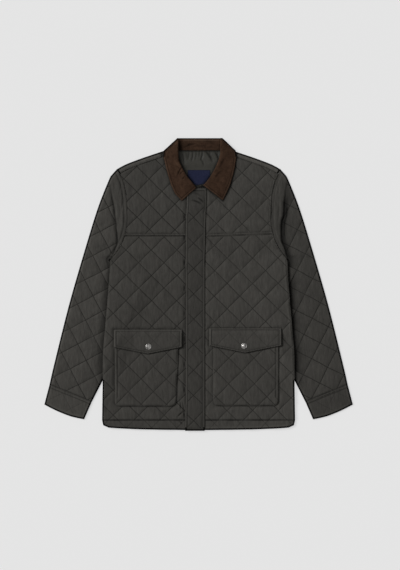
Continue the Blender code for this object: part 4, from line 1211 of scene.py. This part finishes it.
def farthest_in_square(u, v, away):
    """For each place, the greatest distance that its quilted square reaches."""
    square = (np.floor(u) * 1000 + np.floor(v)).astype(int)
    _, number = np.unique(square, return_inverse=True)
    farthest = np.zeros(number.max() + 1)
    np.maximum.at(farthest, number, away)
    return farthest[number]


print("lifted by", RISE, "mm")


# %% Relief of a sleeve
def sleeve_relief(node, borders, body, side, seed):
    quilt = QUILTS[node]
    sign = 1 if side == "left" else -1
    fold = smooth_line(FOLDS[side]) * (sign, 1)
    fold_edges = Edges(chain(fold))
    body_edges = edges_of([OUTLINES[part] for part in body])
    top_of_fold = FOLDS[side][0][1] * MM

    def relief(x, y):
        gap, to_seam, _, to_rim = borders.near(x, y)
        to_fold, _ = fold_edges.near(x, y)
        fold_x = np.interp(y, fold[::-1, 1], fold[::-1, 0] * sign)
        outside = x * sign > fold_x
        to_body, _ = body_edges.near(x, y)
        behind = inside(OUTLINES[body[0]], x, y) | inside(OUTLINES[body[1]], x, y)
        swell, puckers = quilting(quilt, x, y, pucker=0.5)
        band = ~outside & (y > UNDERARM - 4 * MM)
        edge = ease(gap, 4) * ease(to_rim, 8)
        crown = CROWN * ease(to_rim, 60) * ease(to_fold, 60)
        height = SLEEVE_FLAT + crown + edge * PUFF * swell + puckers * ease(gap, 6)
        on_band = SLEEVE_FLAT + (HEAD_BAND - SLEEVE_FLAT) * ease(gap + 2 * MM, 6)
        uneven = 0.40 * noise(x, y, 6, 34, seed + 9) + 0.3 * noise(x, y, 11, 50, seed + 4)
        on_band += uneven * ease(gap, 3)
        height = np.where(band, on_band, height) + ease(to_seam, 10) * slow_waves(x, y, seed, 0.9)
        height -= creased(node, x, y)
        start = np.clip((top_of_fold + 8 * MM - y) / (70 * MM), 0, 1) ** 0.8
        start = start * (y > UNDERARM - 2 * MM)
        pull = 1 - swell  # the quilting's threads pull the cloth into the fold
        width = np.where(band, 3.0, RECESS_WIDTH[side] * (0.5 + 0.6 * pull))
        in_fold = np.exp(-((to_fold / (width * MM)) ** 1.4)) * start
        u, v = sewn_squares(quilt, x, y)
        full = 0.5 + 0.5 * ease(farthest_in_square(u, v, np.where(behind, 0, to_body)) - 24 * MM, 9)
        wide = (2.0 + (BODY_WIDTH[side] - 2.0) * full) * (1 + 0.12 * noise(x, y, 9, 14, seed + 6)) * MM
        below = (y < BESIDE_TOP) * outside
        beside = np.exp(-((to_body / wide) ** 2)) * below
        recess = np.maximum(in_fold, BODY_DEPTH[side] * beside)
        height -= recess * np.clip(height - RECESS, 0, None)
        ragged = 1 + 0.3 * noise(x, y, 5, 9, seed + 13) + 0.4 * pull
        # Painted shade in the fold, beside the body, at the notches and in the cuff seam's row; a painted
        # highlight lies just inside the folded edge.
        shade = FOLD_DARK[side] * trough(to_fold, FOLD_CORE[side] * ragged) * start
        if side == "left":
            out = x - fold_x
            second = trough(out - 7.4 * MM, 2.7 * ragged)
            second = second * (0.3 + 0.7 * ease(y - 120 * MM, 20)) * ease(226 * MM - y, 12)
            soft = 0.78 * trough(out - 3.5 * MM, 9.5) * outside
            shade = np.maximum(shade, np.maximum(0.95 * second * outside, soft) * start)
        shade = np.maximum(shade, BODY_DARK[side] * beside * (0.6 + 0.4 * full))
        flatter = u if side == "left" else v
        to_line = np.abs(flatter - np.round(flatter)) * SQUARE
        notch = trough(to_line, 1.7) * np.exp(-((to_body / (13 * MM)) ** 4)) * below
        shade = np.maximum(shade, NOTCH_DARK[side] * notch)
        shade = np.maximum(shade, row_shade(gap, 0.58) * (y < CUFF_SEAM_TOP)) - rim_highlight(to_rim, 0.24)
        height -= sunk(gap, 0.25) + borders.dip
        height += 0.3 * arch(gap, SLEEVE_ROW) * (to_seam < 12 * MM)
        height += body_rise(x, y) * trough(to_seam, 9) * (y > UNDERARM - 10 * MM) * (to_seam < 30 * MM)
        height -= round_off(to_rim, 10, 3.8) / MM
        height = np.where(behind, np.minimum(height, SLEEVE_FLAT - 0.1), height)
        quilted = np.where(band, 0, (0.25 + 0.75 * ease(gap + 0.5 * MM, 1)) * ease(to_rim, 5)) * 1.15
        height = np.maximum(height, SLOT_HIGH + 0.5)
        return Shape(height, gap, to_rim, quilted, np.clip(shade, -0.5, 0.95))

    return relief


print("sleeve relief ready")


# %% A slot through a tube
def hollow(item, loop, mouths):
    """Cuts a thin slot through a tube, past its mouths."""
    line = inset(loop, np.where(mouths, -6 * MM, SLOT_EDGE * MM))
    cutter = bpy.data.meshes.new("slot")
    cutter.from_pydata([(*p, SLOT_LOW * MM) for p in line], [], [tuple(range(len(line)))])
    slot = bpy.data.objects.new("slot", cutter)
    bpy.context.scene.collection.objects.link(slot)
    select_faces(slot, [True])
    move = (0, 0, (SLOT_HIGH - SLOT_LOW) * MM)
    bpy.ops.mesh.extrude_region_move(TRANSFORM_OT_translate={"value": move})
    bpy.ops.mesh.select_all(action="SELECT")
    bpy.ops.mesh.normals_make_consistent(inside=False)
    bpy.ops.object.mode_set(mode="OBJECT")
    activate(item)
    bpy.ops.object.modifier_add(type="BOOLEAN")
    difference = item.modifiers[-1]
    difference.operation = "DIFFERENCE"
    difference.solver = "EXACT"
    difference.object = slot
    bpy.ops.object.modifier_apply(modifier=difference.name)
    bpy.data.objects.remove(slot)
    bpy.data.meshes.remove(cutter)
    print(f"{item.name} hollowed: {len(item.data.polygons)} faces")


print("the slot is", round(SLOT_HIGH - SLOT_LOW, 1), "mm high")

# %% Sleeves
for side in ("left", "right"):
    yoke, front, sleeve, cuff = (part + side for part in ("yoke_", "front_", "sleeve_", "cuff_"))
    body = [OUTLINES[yoke], OUTLINES[front], *STRIPS]
    borders = Borders(sleeve, (body, SLEEVE_ROW, ARMHOLE_DIP), ([OUTLINES[cuff]], CUFF_ROW, 0))
    relief = sleeve_relief(sleeve, borders, [yoke, front], side, 21 + (side == "left"))
    piece = closed_panel("quilted_" + sleeve, borders.cut_loop, QUILTS[sleeve], on_floor, relief)
    hollow(piece, OUTLINES[sleeve], borders.joined)
    dress(piece, sleeve, "shell", shell_cloth[sleeve], *cut_of(OUTLINES[sleeve], 2))

# %% [markdown]
# ## Cuffs
# Each cuff is a stiffened band. The quilting only just shows through it.


# %% Cuffs
def cuff_relief(node, borders, quilt, seed):
    def relief(x, y):
        gap, to_seam, _, to_rim = borders.near(x, y)
        swell, puckers = quilting(quilt, x, y)
        height = SLEEVE_FLAT + 0.9 + 0.7 * swell * ease(gap, 6) * ease(to_rim, 6) + 0.4 * puckers
        height += 0.5 * slow_waves(x, y, seed) * ease(to_seam, 8)
        height -= sunk(gap, 0.5)
        height += 0.4 * arch(gap, CUFF_ROW)
        height -= sunk(to_rim - 6.5 * MM, 0.35)
        height -= round_off(to_rim, 6, 3.0) / MM
        # pale is painted highlight along the piping and just inside the folded edge; the row takes
        # painted shade.
        pale = 0.2 * arch(gap, CUFF_ROW) + rim_highlight(to_rim, 0.24)
        quilted = 0.4 * ease(gap, 1.5) * ease(to_rim, 5)
        return Shape(np.maximum(height, SLOT_HIGH + 0.5), gap, to_rim, quilted, row_shade(gap, 0.58) - pale)

    return relief


for side in ("left", "right"):
    sleeve, cuff = "sleeve_" + side, "cuff_" + side
    loop, quilt = OUTLINES[cuff], QUILTS[sleeve]
    borders = Borders(cuff, ([OUTLINES[sleeve]], CUFF_ROW, 0))
    relief = cuff_relief(cuff, borders, quilt, 31 + (side == "left"))
    piece = closed_panel("firm_" + cuff, borders.cut_loop, quilt, on_floor, relief)
    turn = math.radians(quilt.turn)
    runs = np.roll(loop, -1, axis=0) - loop
    along = np.abs(runs @ np.array((math.cos(turn), math.sin(turn))))
    hollow(piece, loop, along > 0.5 * np.linalg.norm(runs, axis=1))
    dress(piece, cuff, "cuff_cloth", shell_cloth[cuff], *cut_of(loop, 2))

# %% [markdown]
# ## Placket
# The placket covers the zip. It is quilted too, but it is pressed harder, and its two edges are
# stitched down 5 mm in, so each edge is a smooth ridge, made lighter with a painted highlight. Its
# rows and creases take painted shade. Near the collar it is plain and wrinkles a little.

# %% Placket
PLACKET_ROW = 5.0
PLACKET_FLAT_TOP = 232 * MM  # above this it isn't quilted
PLACKET_RIM_TOP = HEM_LINE - 24 * MM
TOP_ROW = 262.6 * MM


def placket_relief(x, y):
    to_rim, along = Edges(closed(OUTLINES["placket"])).near(x, y)
    gap = to_rim - PLACKET_ROW * MM
    swell, puckers = quilting(QUILTS["placket"], x, y)
    shown = ease(PLACKET_FLAT_TOP - y, 14)
    height = WALL + shown * ease(gap, 7) * 1.7 * swell + 0.7 * puckers * ease(gap, 5) * shown
    height += 0.35 * slow_waves(x, y, 61) * ease(gap, 8)
    height -= creased("placket", x, y) * ease(to_rim, 4)
    height += 0.96 * arch(gap, PLACKET_ROW) + 0.25 * noise(along, 0 * x, 9, 1, 62) * ease(-gap, 2)
    height -= sunk(gap, 0.6)
    height -= round_off(to_rim, 2.2, 1.3) / MM
    past_end = np.maximum(to_rim, y - PLACKET_RIM_TOP)  # it is a free edge only at its lower end
    at_top = trough(y - TOP_ROW, 1.6) * ease(gap + 1 * MM, 2)
    # Painted shade in the creases, the top row and the rows beside the edges; painted highlight on the
    # ridges.
    deep = np.maximum(0.36 * np.clip(creased("placket", x, y), 0, 2.4), 0.5 * at_top)
    deep = np.clip(np.maximum(deep, row_shade(gap, 0.22)), 0, 0.9) - 0.38 * arch(gap, PLACKET_ROW)
    return Shape(np.maximum(height, 0.6), gap, past_end, shown * ease(gap, 1.5) * 1.08, deep)


sew("quilted_", "placket", "placket_cloth", "placket", placket_relief)

# %% [markdown]
# ## Pockets and flaps
# The patch pockets are quilted and stand a little off the front, so their edges throw a shadow,
# and a painted shadow lies round each and under each flap. A row of thread shows only along the
# outer side of each. The flaps are stiffer, with a stitched edge like a piping, lightened with a
# painted highlight, and a few creases that run to the snap.

# %% Relief of a pocket
POCKET_ROW = 7.8
POCKET_ROW_END = -316 * MM


def pocket_relief(node, flap, seed):
    edges = Edges(closed(OUTLINES[node]))

    def relief(x, y):
        to_rim, along = edges.near(x, y)
        outer = OUTLINES[node][np.argmax(np.abs(OUTLINES[node][:, 0])), 0]
        gap = np.abs(x - outer) - POCKET_ROW * MM + 40 * MM * ease(POCKET_ROW_END - y, 14)
        free, dark = pressed(x, y, [flap], 7)
        swell, puckers = quilting(QUILTS[node], x, y)
        inner = ease(gap, 4) * ease(to_rim - 1 * MM, 4)
        height = 3.0 + free * (inner * 2.5 * swell + puckers * inner)
        height += 0.8 * slow_waves(x, y, seed) * ease(to_rim, 8) * free
        height += (0.8 * arch(gap, POCKET_ROW) + 0.3 * noise(along, 0 * x, 10, 1, seed)) * free
        height -= sunk(gap, 0.4)
        height -= round_off(to_rim, 3.0, 1.7) / MM
        quilted = (0.15 + 0.85 * ease(gap, 1.5)) * ease(to_rim, 3)
        # Painted shadow beside the flap and painted shade in the row; a faint painted highlight on the
        # piping.
        deep = np.maximum(dark, row_shade(gap, 0.36) * free) - 0.08 * arch(gap, POCKET_ROW) * free
        return Shape(np.maximum(height, 0.6), gap, to_rim + FAR, quilted, deep)

    return relief


print("pocket relief ready")


# %% Relief of a flap
FLAP_ROW, FLAP_SIDE_ROW = 4.1, 6.2


def flap_relief(node, quilt, seed):
    segments = closed(OUTLINES[node])
    edges = Edges(segments)
    runs = np.abs(segments[:, 1] - segments[:, 0])
    upright = Edges(segments[runs[:, 1] > runs[:, 0]])
    level = Edges(segments[runs[:, 1] <= runs[:, 0]])

    def relief(x, y):
        to_rim, along = edges.near(x, y)
        to_side = upright.near(x, y)[0] - FLAP_SIDE_ROW * MM
        gap = np.minimum(to_side, level.near(x, y)[0] - FLAP_ROW * MM)
        row = np.where(gap < to_side, FLAP_ROW, FLAP_SIDE_ROW)
        swell, puckers = quilting(quilt, x, y)
        height = WALL + 0.75 * swell * ease(gap, 6) + 0.4 * puckers * ease(gap, 5)
        height += 0.5 * slow_waves(x, y, seed) * ease(gap, 8)
        height -= creased(node, x, y)
        height += 0.88 * arch(gap, row) + 0.2 * noise(along, 0 * x, 9, 1, seed)
        height -= sunk(gap, 0.6)
        height -= round_off(to_rim, 3.0, 1.6) / MM
        # Painted shade in the row and a painted highlight on the piping.
        deep = row_shade(gap, 0.50) - np.where(gap < to_side, 0.6, 0.3) * arch(gap, row)
        return Shape(np.maximum(height, 0.6), gap, to_rim + FAR, 0.45 * ease(gap, 1.5), deep)

    return relief


print("flap relief ready")

# %% Pockets and flaps
for side in ("left", "right"):
    pocket, flap = "pocket_" + side, "flap_" + side
    sew("quilted_", pocket, "shell", pocket, pocket_relief(pocket, flap, 71 + (side == "left")))
    sew("firm_", flap, "flap_cloth", pocket, flap_relief(flap, QUILTS[pocket], 81 + (side == "left")))

# %% [markdown]
# ## Collar cloth
# The collar is a brown brushed cotton. Its nap catches the light unevenly, so the colour drifts
# between two browns, and a soft sheen lightens it where it turns. A painted highlight lightens the
# leaves' edges, and painted shade darkens its rows, its folds and its outer top edge.

# %% Collar cloth
LIGHT_BROWN = (0.062, 0.0345, 0.0215)
# the colour of the painted highlight
HIGHLIGHT_BROWN = (0.115, 0.078, 0.055, 1)


def brushed_surface(name, light, dark):
    s = Surface(name)
    place = s.place()
    drift = s.noise(place, 30, 4, 0.6)
    streaks = s.noise(s.turned(place, 0, 0, 12, (2.2 * MM, 9 * MM, 4 * MM)), 1.0)
    nap = s.noise(place, 1700, 3, 0.7)
    line = s.attribute("stitch_gap").math("ABSOLUTE").fade(0.4 * MM, 1.6 * MM) * 0.6
    blotches = s.noise(place, 75, 3, 0.6)
    crinkle = s.noise(place, 260, 3, 0.6)
    blend = drift * 1.5 + blotches * 1.0 + streaks * 0.6 + nap * 0.4 + crinkle * 0.8 - 1.62
    cloth = s.mix(blend, (*dark, 1), (*light, 1))
    # Painted highlight where deep is below 0, painted shade in the row of thread, and painted shade at
    # the outer top edge and where deep is above 0.
    cloth = s.mix(s.painted_highlight(), cloth, HIGHLIGHT_BROWN)
    with_row_shade = s.mix(line, cloth, tinted(dark, 0.45))
    cloth = s.mix(s.shadowed(2.2, 3.8), with_row_shade, tinted(dark, 0.08))
    s.bump(nap * (0.10 * MM) + streaks * (0.14 * MM) - line * (0.2 * MM))
    sheen = {"Sheen_Weight": 0.05, "Sheen_Roughness": 0.5, "Sheen_Tint": (0.9, 0.75, 0.6, 1)}
    return s.finish(Base_Color=cloth, Roughness=0.95 - drift * 0.15, Specular_IOR_Level=0.05, **sheen)


collar_cloth = brushed_surface("brushed_cotton", LIGHT_BROWN, (0.024, 0.0125, 0.0078))
stand_cloth = brushed_surface("brushed_cotton_inside", LIGHT_BROWN, (0.018, 0.0098, 0.0062))
print("collar cloths ready")

# %% [markdown]
# ## Collar
# The collar turns over in space, so a grid over its plan would not do. A joined copy of its solid
# is remeshed into small even faces and smoothed, and its points are then moved in and out: a
# stitched line inside the leaves' outer edges, a few creases where the left leaf bends, and the
# unevenness of soft cloth. Painted shade darkens the creases and the outer top edge, and a painted
# highlight lies along the leaves' edges and below the top edge.

# %% Sizes of the collar
CREASES["collar"] = (
    (-60, 302, -42, 332, 1.8, 2.2), (-54, 306, -38, 318, 1.6, 1.8), (-66, 332, -50, 320, 1.8, 1.4),
    (-46, 292, -34, 304, 1.6, 1.6), (-50, 318, -40, 306, 1.6, -1.2), (-84, 352, -72, 392, 4.0, 0.7),
    (-70, 280, -58, 262, 3.0, 0.7), (-40, 270, -26, 282, 2.6, 0.6), (58, 322, 78, 356, 3.4, 1.0),
    (46, 296, 66, 318, 3.0, 1.2), (84, 306, 70, 272, 3.2, 0.8), (88, 380, 70, 398, 4.0, 0.7),
    (52, 262, 66, 246, 2.4, 0.8), (30, 284, 46, 280, 2.2, 0.8),
)
COLLAR_ROW = 5.6
COLLAR_CUT, COLLAR_AREA = (0.46, 0.085), 0.030  # the whole fall, flat: width, length and area in metres
COLLAR_GROWN = 1.5 * MM  # smoothing drew the edges in by this much
NECK_HALF, NECK_POINT = 61.6 * MM, 271 * MM  # inner edges are nearer the middle and above this
LEAF_TOP, RIM_FROM, GROWN_FROM = 408 * MM, 356 * MM, 345 * MM
print("collar creases:", len(CREASES["collar"]))

# %% The collar's soft form
collar = copy_of("collar", "turned_collar")
collar.data.remesh_voxel_size = 1.35 * MM
activate(collar)
bpy.ops.object.voxel_remesh()
bpy.ops.object.modifier_add(type="SMOOTH")
collar.modifiers[-1].iterations = 7
collar.modifiers[-1].factor = 0.6
bpy.ops.object.modifier_apply(modifier=collar.modifiers[-1].name)
bpy.ops.object.shade_smooth()
print("remeshed:", len(collar.data.polygons), "faces")

# %% The collar's edges and creases
points = read_points(collar)
normals = np.array([v.normal for v in collar.data.vertices])
points[:, :2] += normals[:, :2] * COLLAR_GROWN * (0.1 + 0.9 * ease(points[:, 1:2] - GROWN_FROM, 20))
points[:, 1] = np.minimum(points[:, 1], COLLAR_TOP)
x, y = points[:, 0], points[:, 1]
rims = np.concatenate([closed(loop) for loop in LEAVES])
middles = rims.mean(axis=1)
outer = (np.abs(middles[:, 0] - NECK_MIDDLE) > NECK_HALF) | (middles[:, 1] < NECK_POINT)
to_edge, along = Edges(rims[outer & (middles[:, 1] < LEAF_TOP)]).near(x, y)
silhouette = outer & (middles[:, 1] > RIM_FROM)
to_rim = np.minimum(Edges(rims[silhouette]).near(x, y)[0], np.abs(y - COLLAR_TOP))
leaf = (points[:, 2] > 9 * MM) & (normals[:, 2] > 0.3)
up = np.clip(normals[:, 2], 0, 1) * np.where(leaf, 1, 0)
gap = np.where(leaf, to_edge - COLLAR_ROW * MM, FAR)
folds = creased("collar", x, y)
push = 0.45 * trough(to_edge - 2.6 * MM, 2.0) - sunk(gap, 0.5) - folds + 0.8 * noise(x, y, 20, 26, 91)
push += 0.50 * noise(x, y, 9, 20, 92) + 0.36 * noise(x, y, 5, 7, 94)
points[:, 2] += up * (push + 0.3 * noise(along, 0 * x, 8, 1, 93) * trough(gap + 2 * MM, 3)) * MM
write_points(collar, points)
# Painted shade along the outer top edge and in the creases; painted highlight along the leaves' outer
# edges and just below the top edge.
rim = np.where(normals[:, 2] > -0.2, to_rim, FAR)
patchy = 0.6 + 0.6 * noise(x, y, 17, 17, 95)
deep = np.clip(0.28 * folds, 0, 0.6) - 0.20 * trough(to_edge - 2.2 * MM, 1.6) * leaf * patchy
deep = deep - 0.16 * trough(to_rim - 6 * MM, 1.8)
carry(collar, {"stitch_gap": gap, "rim_gap": rim, "deep": deep}, np.full(len(points), True))
dress(collar, "collar", "collar_cloth", collar_cloth, COLLAR_CUT, COLLAR_AREA)
print("turned_collar:", len(collar.data.polygons), "faces")

# %% [markdown]
# ## Inside the neck
# The stand leans back from the neck seam, the lining hangs from that seam in gathers, and a woven
# label is sewn on it. The label is left bare. All three are fine grids laid on the heights of their
# solids. Under the leaves, in the gathers and low in the neck they take painted shade.

# %% Sizes inside the neck
CREASES["back_lining"] = (
    (-48, 372, -41, 330, 3.0, 1.6), (-36, 376, -33, 352, 2.4, 1.0), (-27, 376, -31, 346, 3.2, 1.5),
    (-16, 376, -20, 342, 2.6, 1.7), (-6, 376, -10, 346, 2.2, 1.1), (3, 377, 1, 356, 2.4, 1.2),
    (11, 374, 6, 346, 2.4, 2.2), (6, 352, 16, 330, 2.4, 1.8), (15, 378, 41, 341, 3.0, 2.8),
    (30, 377, 33, 362, 2.2, 1.4), (44, 376, 58, 344, 3.0, 2.4), (52, 376, 56, 362, 2.0, 1.2),
)
CREASES["collar_stand"] = (
    (-46, 380, -4, 394, 2.4, 1.6), (-52, 400, -34, 388, 2.6, 1.0), (-30, 404, 6, 398, 2.6, -0.6),
    (-22, 382, 12, 386, 3.0, 0.8), (20, 400, 46, 392, 3.4, 0.7), (28, 384, 52, 380, 2.4, 0.6),
)
LABEL_UNDER = 1.35  # height of the lining where the label lies on it, in mm
NECK_SEAM = 374.8 * MM
GATHERED = 2.2  # how much higher it stands at the neck seam
NECK_DARK_TOP = 284 * MM  # below this the leaves close over it, and it takes painted shade
LINING_TURN = 322 * MM  # above this the lining rises to the neck seam
LEAF_BEND = 345 * MM  # above this the leaves stand farther off it
print("gathers:", len(CREASES["back_lining"]))


# %% Lining and label cloth
def lining_surface():
    s = Surface("satin_lining")
    place = s.place()
    drift = s.noise(place, 40, 3)
    ribs = s.ribs(place, "X", 0.55 * MM, 20)
    slubs = s.streaks(place, (0.9 * MM, 14 * MM), detail=2)
    cloth = s.mix(drift * 0.6 + slubs * 0.4, (0.030, 0.0290, 0.0245, 1), (0.062, 0.0600, 0.0520, 1))
    # Painted shade at the lining's edges and where deep is above 0.
    colour = s.mix(s.shadowed(0.5, 7, 1.0) * 0.8, cloth, (0.003, 0.0028, 0.0022, 1))
    s.bump(ribs * (0.02 * MM) + slubs * (0.05 * MM))
    return s.finish(Base_Color=colour, Roughness=0.42 + drift * 0.12, Specular_IOR_Level=0.12)


def label_surface():
    s = Surface("woven_label")
    place = s.place()
    ribs = s.ribs(place, "Y", 0.45 * MM)
    warp = s.ribs(place, "X", 0.45 * MM, turns=0.5)
    drift = s.noise(place, 120, 3)
    rim = s.attribute("rim_gap").fade(0.4 * MM, 1.6 * MM)
    cloth = s.mix(drift, (0.0125, 0.0155, 0.0390, 1), (0.0195, 0.0230, 0.0540, 1))
    # Painted shade where deep is above 0.
    colour = s.mix(s.attribute("deep"), cloth, (0.0010, 0.0012, 0.0030, 1))
    colour = s.mix(rim, colour, (0.008, 0.010, 0.022, 1))
    s.bump(ribs * (0.04 * MM) + warp * (0.02 * MM))
    return s.finish(Base_Color=colour, Roughness=0.55 + ribs * 0.05, Specular_IOR_Level=0.05)


print("lining and label cloth ready")


# %% Relief inside the neck
def neck_relief(node, base, seed, rough, most=None):
    top = topside(node)
    edges = Edges(closed(OUTLINES[node]))
    leaves = edges_of(LEAVES)

    def relief(x, y):
        to_rim, _ = edges.near(x, y)
        folds = creased(node, x, y)
        height = (top(x, y) - base(x, y)) / MM
        if node == "back_lining":
            height = LABEL_UNDER + GATHERED * ease(y - LINING_TURN, 18)
        height += ease(to_rim, 3) * (rough * slow_waves(x, y, seed) - folds)
        under_leaf = leaves.near(x, y)[0] * np.where(y < LEAF_BEND, 1, 1.6)
        at_seam = (y - NECK_SEAM) / MM + 1.2 * noise(x, y, 5, 40, seed)
        gathers = np.exp(-((at_seam / 1.3) ** 2)) * (0.25 + 0.75 * noise(x, y, 4, 40, seed + 1))
        # deep is painted shade: under the leaves, in the folds, in the gathers at the neck seam and low
        # in the neck.
        deep = np.maximum(0.85 * trough(under_leaf, 5), 0.33 * np.clip(folds, 0, 2.5))
        deep = np.maximum(np.maximum(deep, gathers), 0.85 * ease(NECK_DARK_TOP - y, 9))
        if node == "collar_stand":
            to_rim = COLLAR_TOP - y
            ridge = trough(to_rim - 6.4 * MM, 1.5)
            height += ridge
            # Painted shade at the stand's left end, and a painted highlight on its ridge.
            deep = np.maximum(deep, 0.7 * ease(-38 * MM - x, 16)) - 0.5 * ridge
        if most:
            under_label = inside(OUTLINES["neck_label"], x, y)
            height = np.where(under_label, np.minimum(height, most), height)
        return Shape(np.maximum(height, 0.5), FAR, to_rim, 0.0, np.clip(deep, -0.5, 0.9))

    return relief


print("neck relief ready")

# %% Inside the neck
for node, name, slot, material, seed, rough, most in (
    ("back_lining", "satin_back_lining", "lining", lining_surface(), 101, 0.35, LABEL_UNDER),
    ("neck_label", "woven_neck_label", "label", label_surface(), 103, 0.12, None),
    ("collar_stand", "brushed_collar_stand", "collar_cloth", stand_cloth, 105, 0.4, None),
):
    base = underside(node)
    relief = neck_relief(node, base, seed, rough, most)
    piece = closed_panel(name, OUTLINES[node], QUILTS["plain"], base, relief, cells=32)
    dress(piece, node, slot, material, *cut_of(OUTLINES[node]))

# %% [markdown]
# ## Zip
# The zip is hidden under the placket, and its solid is already the right plain strip. It stays, and
# only gets the look of a woven tape.


# %% Zip
def tape_surface():
    s = Surface("zip_tape")
    place = s.place()
    ribs = s.ribs(place, "X", 0.7 * MM)
    picks = s.ribs(place, "Y", 0.7 * MM)
    drift = s.noise(place, 90, 3)
    colour = s.mix(drift, (0.014, 0.0135, 0.0125, 1), (0.026, 0.025, 0.023, 1))
    s.bump(ribs * (0.05 * MM) + picks * (0.02 * MM))
    return s.finish(Base_Color=colour, Roughness=0.7 + drift * 0.15)


zip_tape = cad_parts["front_zip"]
zip_tape.data.materials.clear()
zip_tape.data.materials.append(tape_surface())
print("zip tape:", zip_tape.name)

# %% [markdown]
# ## Snaps
# Each flap closes with a pressed metal snap: a rolled rim, a groove and a low dome. A cylinder's
# top face is inset again and again, and each new ring is raised or lowered, as a metal spinner
# would shape it.

# %% Snap metal
SNAP_BLANK = (8.1, 0.6)  # radius and height of the disc that it is pressed from
SNAP_RINGS = (  # radius and height of each ring, from the rim inwards
    (8.1, 0.9), (7.8, 1.45), (7.2, 1.75), (6.6, 1.6), (6.15, 1.0), (5.7, 0.85), (5.2, 1.25), (4.4, 1.9),
    (3.2, 2.4), (1.8, 2.65), (0.7, 2.7),
)
SNAP_DARK_REFLECTION = {"right": -2.6, "left": 3.4}  # where a painted reflection of something dark lies across the cap, in mm from its middle


def nickel_surface(name, x, y, dark_reflection_x):
    s = Surface(name)
    place = s.place()
    from_middle = s.split(s.turned(place, x, y, 0, 1.0))
    radius = (from_middle["X"] * from_middle["X"] + from_middle["Y"] * from_middle["Y"]).math("SQRT")
    groove = (radius - 6.0 * MM).math("ABSOLUTE").fade(0.3 * MM, 1.5 * MM)
    wear = s.noise(place, 420, 4)
    spun = s.noise(s.turned(place, x, y, 30, (9 * MM, 0.5 * MM, 1)), 1.0, 2)
    # A painted reflection of something dark lies in a band across the cap, with painted shade in the
    # groove; there the metal is dull and dark.
    painted_dark = (from_middle["X"] - dark_reflection_x * MM).math("ABSOLUTE").fade(0.6 * MM, 1.9 * MM)
    painted_dark = painted_dark.math("MAXIMUM", groove * 0.8)
    colour = s.mix(painted_dark * 0.92, (0.56, 0.545, 0.52, 1), (0.03, 0.028, 0.026, 1))
    s.bump(wear * (0.03 * MM) + spun * (0.02 * MM))
    return s.finish(Base_Color=colour, Metallic=1.0 - painted_dark, Roughness=0.3 + wear * 0.2)


print("rings in a snap:", len(SNAP_RINGS))

# %% Snaps
for side in ("left", "right"):
    low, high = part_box("snap_" + side)
    x, y = (low.x + high.x) / 2, (low.y + high.y) / 2
    radius, height = SNAP_BLANK
    middle = (x, y, low.z + height / 2 * MM)
    deselect()
    bpy.ops.mesh.primitive_cylinder_add(
        vertices=40, radius=radius * MM, depth=height * MM, location=middle
    )
    snap = bpy.context.object
    snap.name = snap.data.name = "pressed_snap_" + side
    bpy.ops.object.transform_apply(location=True, rotation=True, scale=True)
    select_faces(snap, [p.normal.z > 0.9 for p in snap.data.polygons])
    for next_radius, next_height in SNAP_RINGS:
        rise = (0, 0, (next_height - height) * MM)
        bpy.ops.mesh.extrude_region_move(TRANSFORM_OT_translate={"value": rise})
        scale = next_radius / radius
        centre = (x, y, low.z + next_height * MM)
        bpy.ops.transform.resize(value=(scale, scale, 1), center_override=centre)
        radius, height = next_radius, next_height
    bpy.ops.object.mode_set(mode="OBJECT")
    bpy.ops.object.shade_smooth_by_angle(angle=math.radians(60))
    dress(snap, "snap_" + side, "snap_metal", nickel_surface("nickel_" + side, x, y, SNAP_DARK_REFLECTION[side]))
    print(snap.name, len(snap.data.polygons), "faces")

# %% [markdown]
# ## The size
# The dressed jacket may stand a little prouder than its solids, but not much. How far each corner
# of its box moved from the solids' box is printed.

# %% Floor and both boxes
floor_surface = Surface("floor")
pale = (0.25, 0.25, 0.25, 1)
glow = {"Emission_Color": (1.0, 1.0, 1.0, 1), "Emission_Strength": FLOOR_GLOW}
floor.data.materials.append(floor_surface.finish(Base_Color=pale, Roughness=0.9, **glow))
dressed_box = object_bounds()
for name, before, after in zip(("low", "high"), cad_box, dressed_box):
    print(name, "corner moved by mm:", [round((b - a) / MM, 1) for a, b in zip(before, after)])
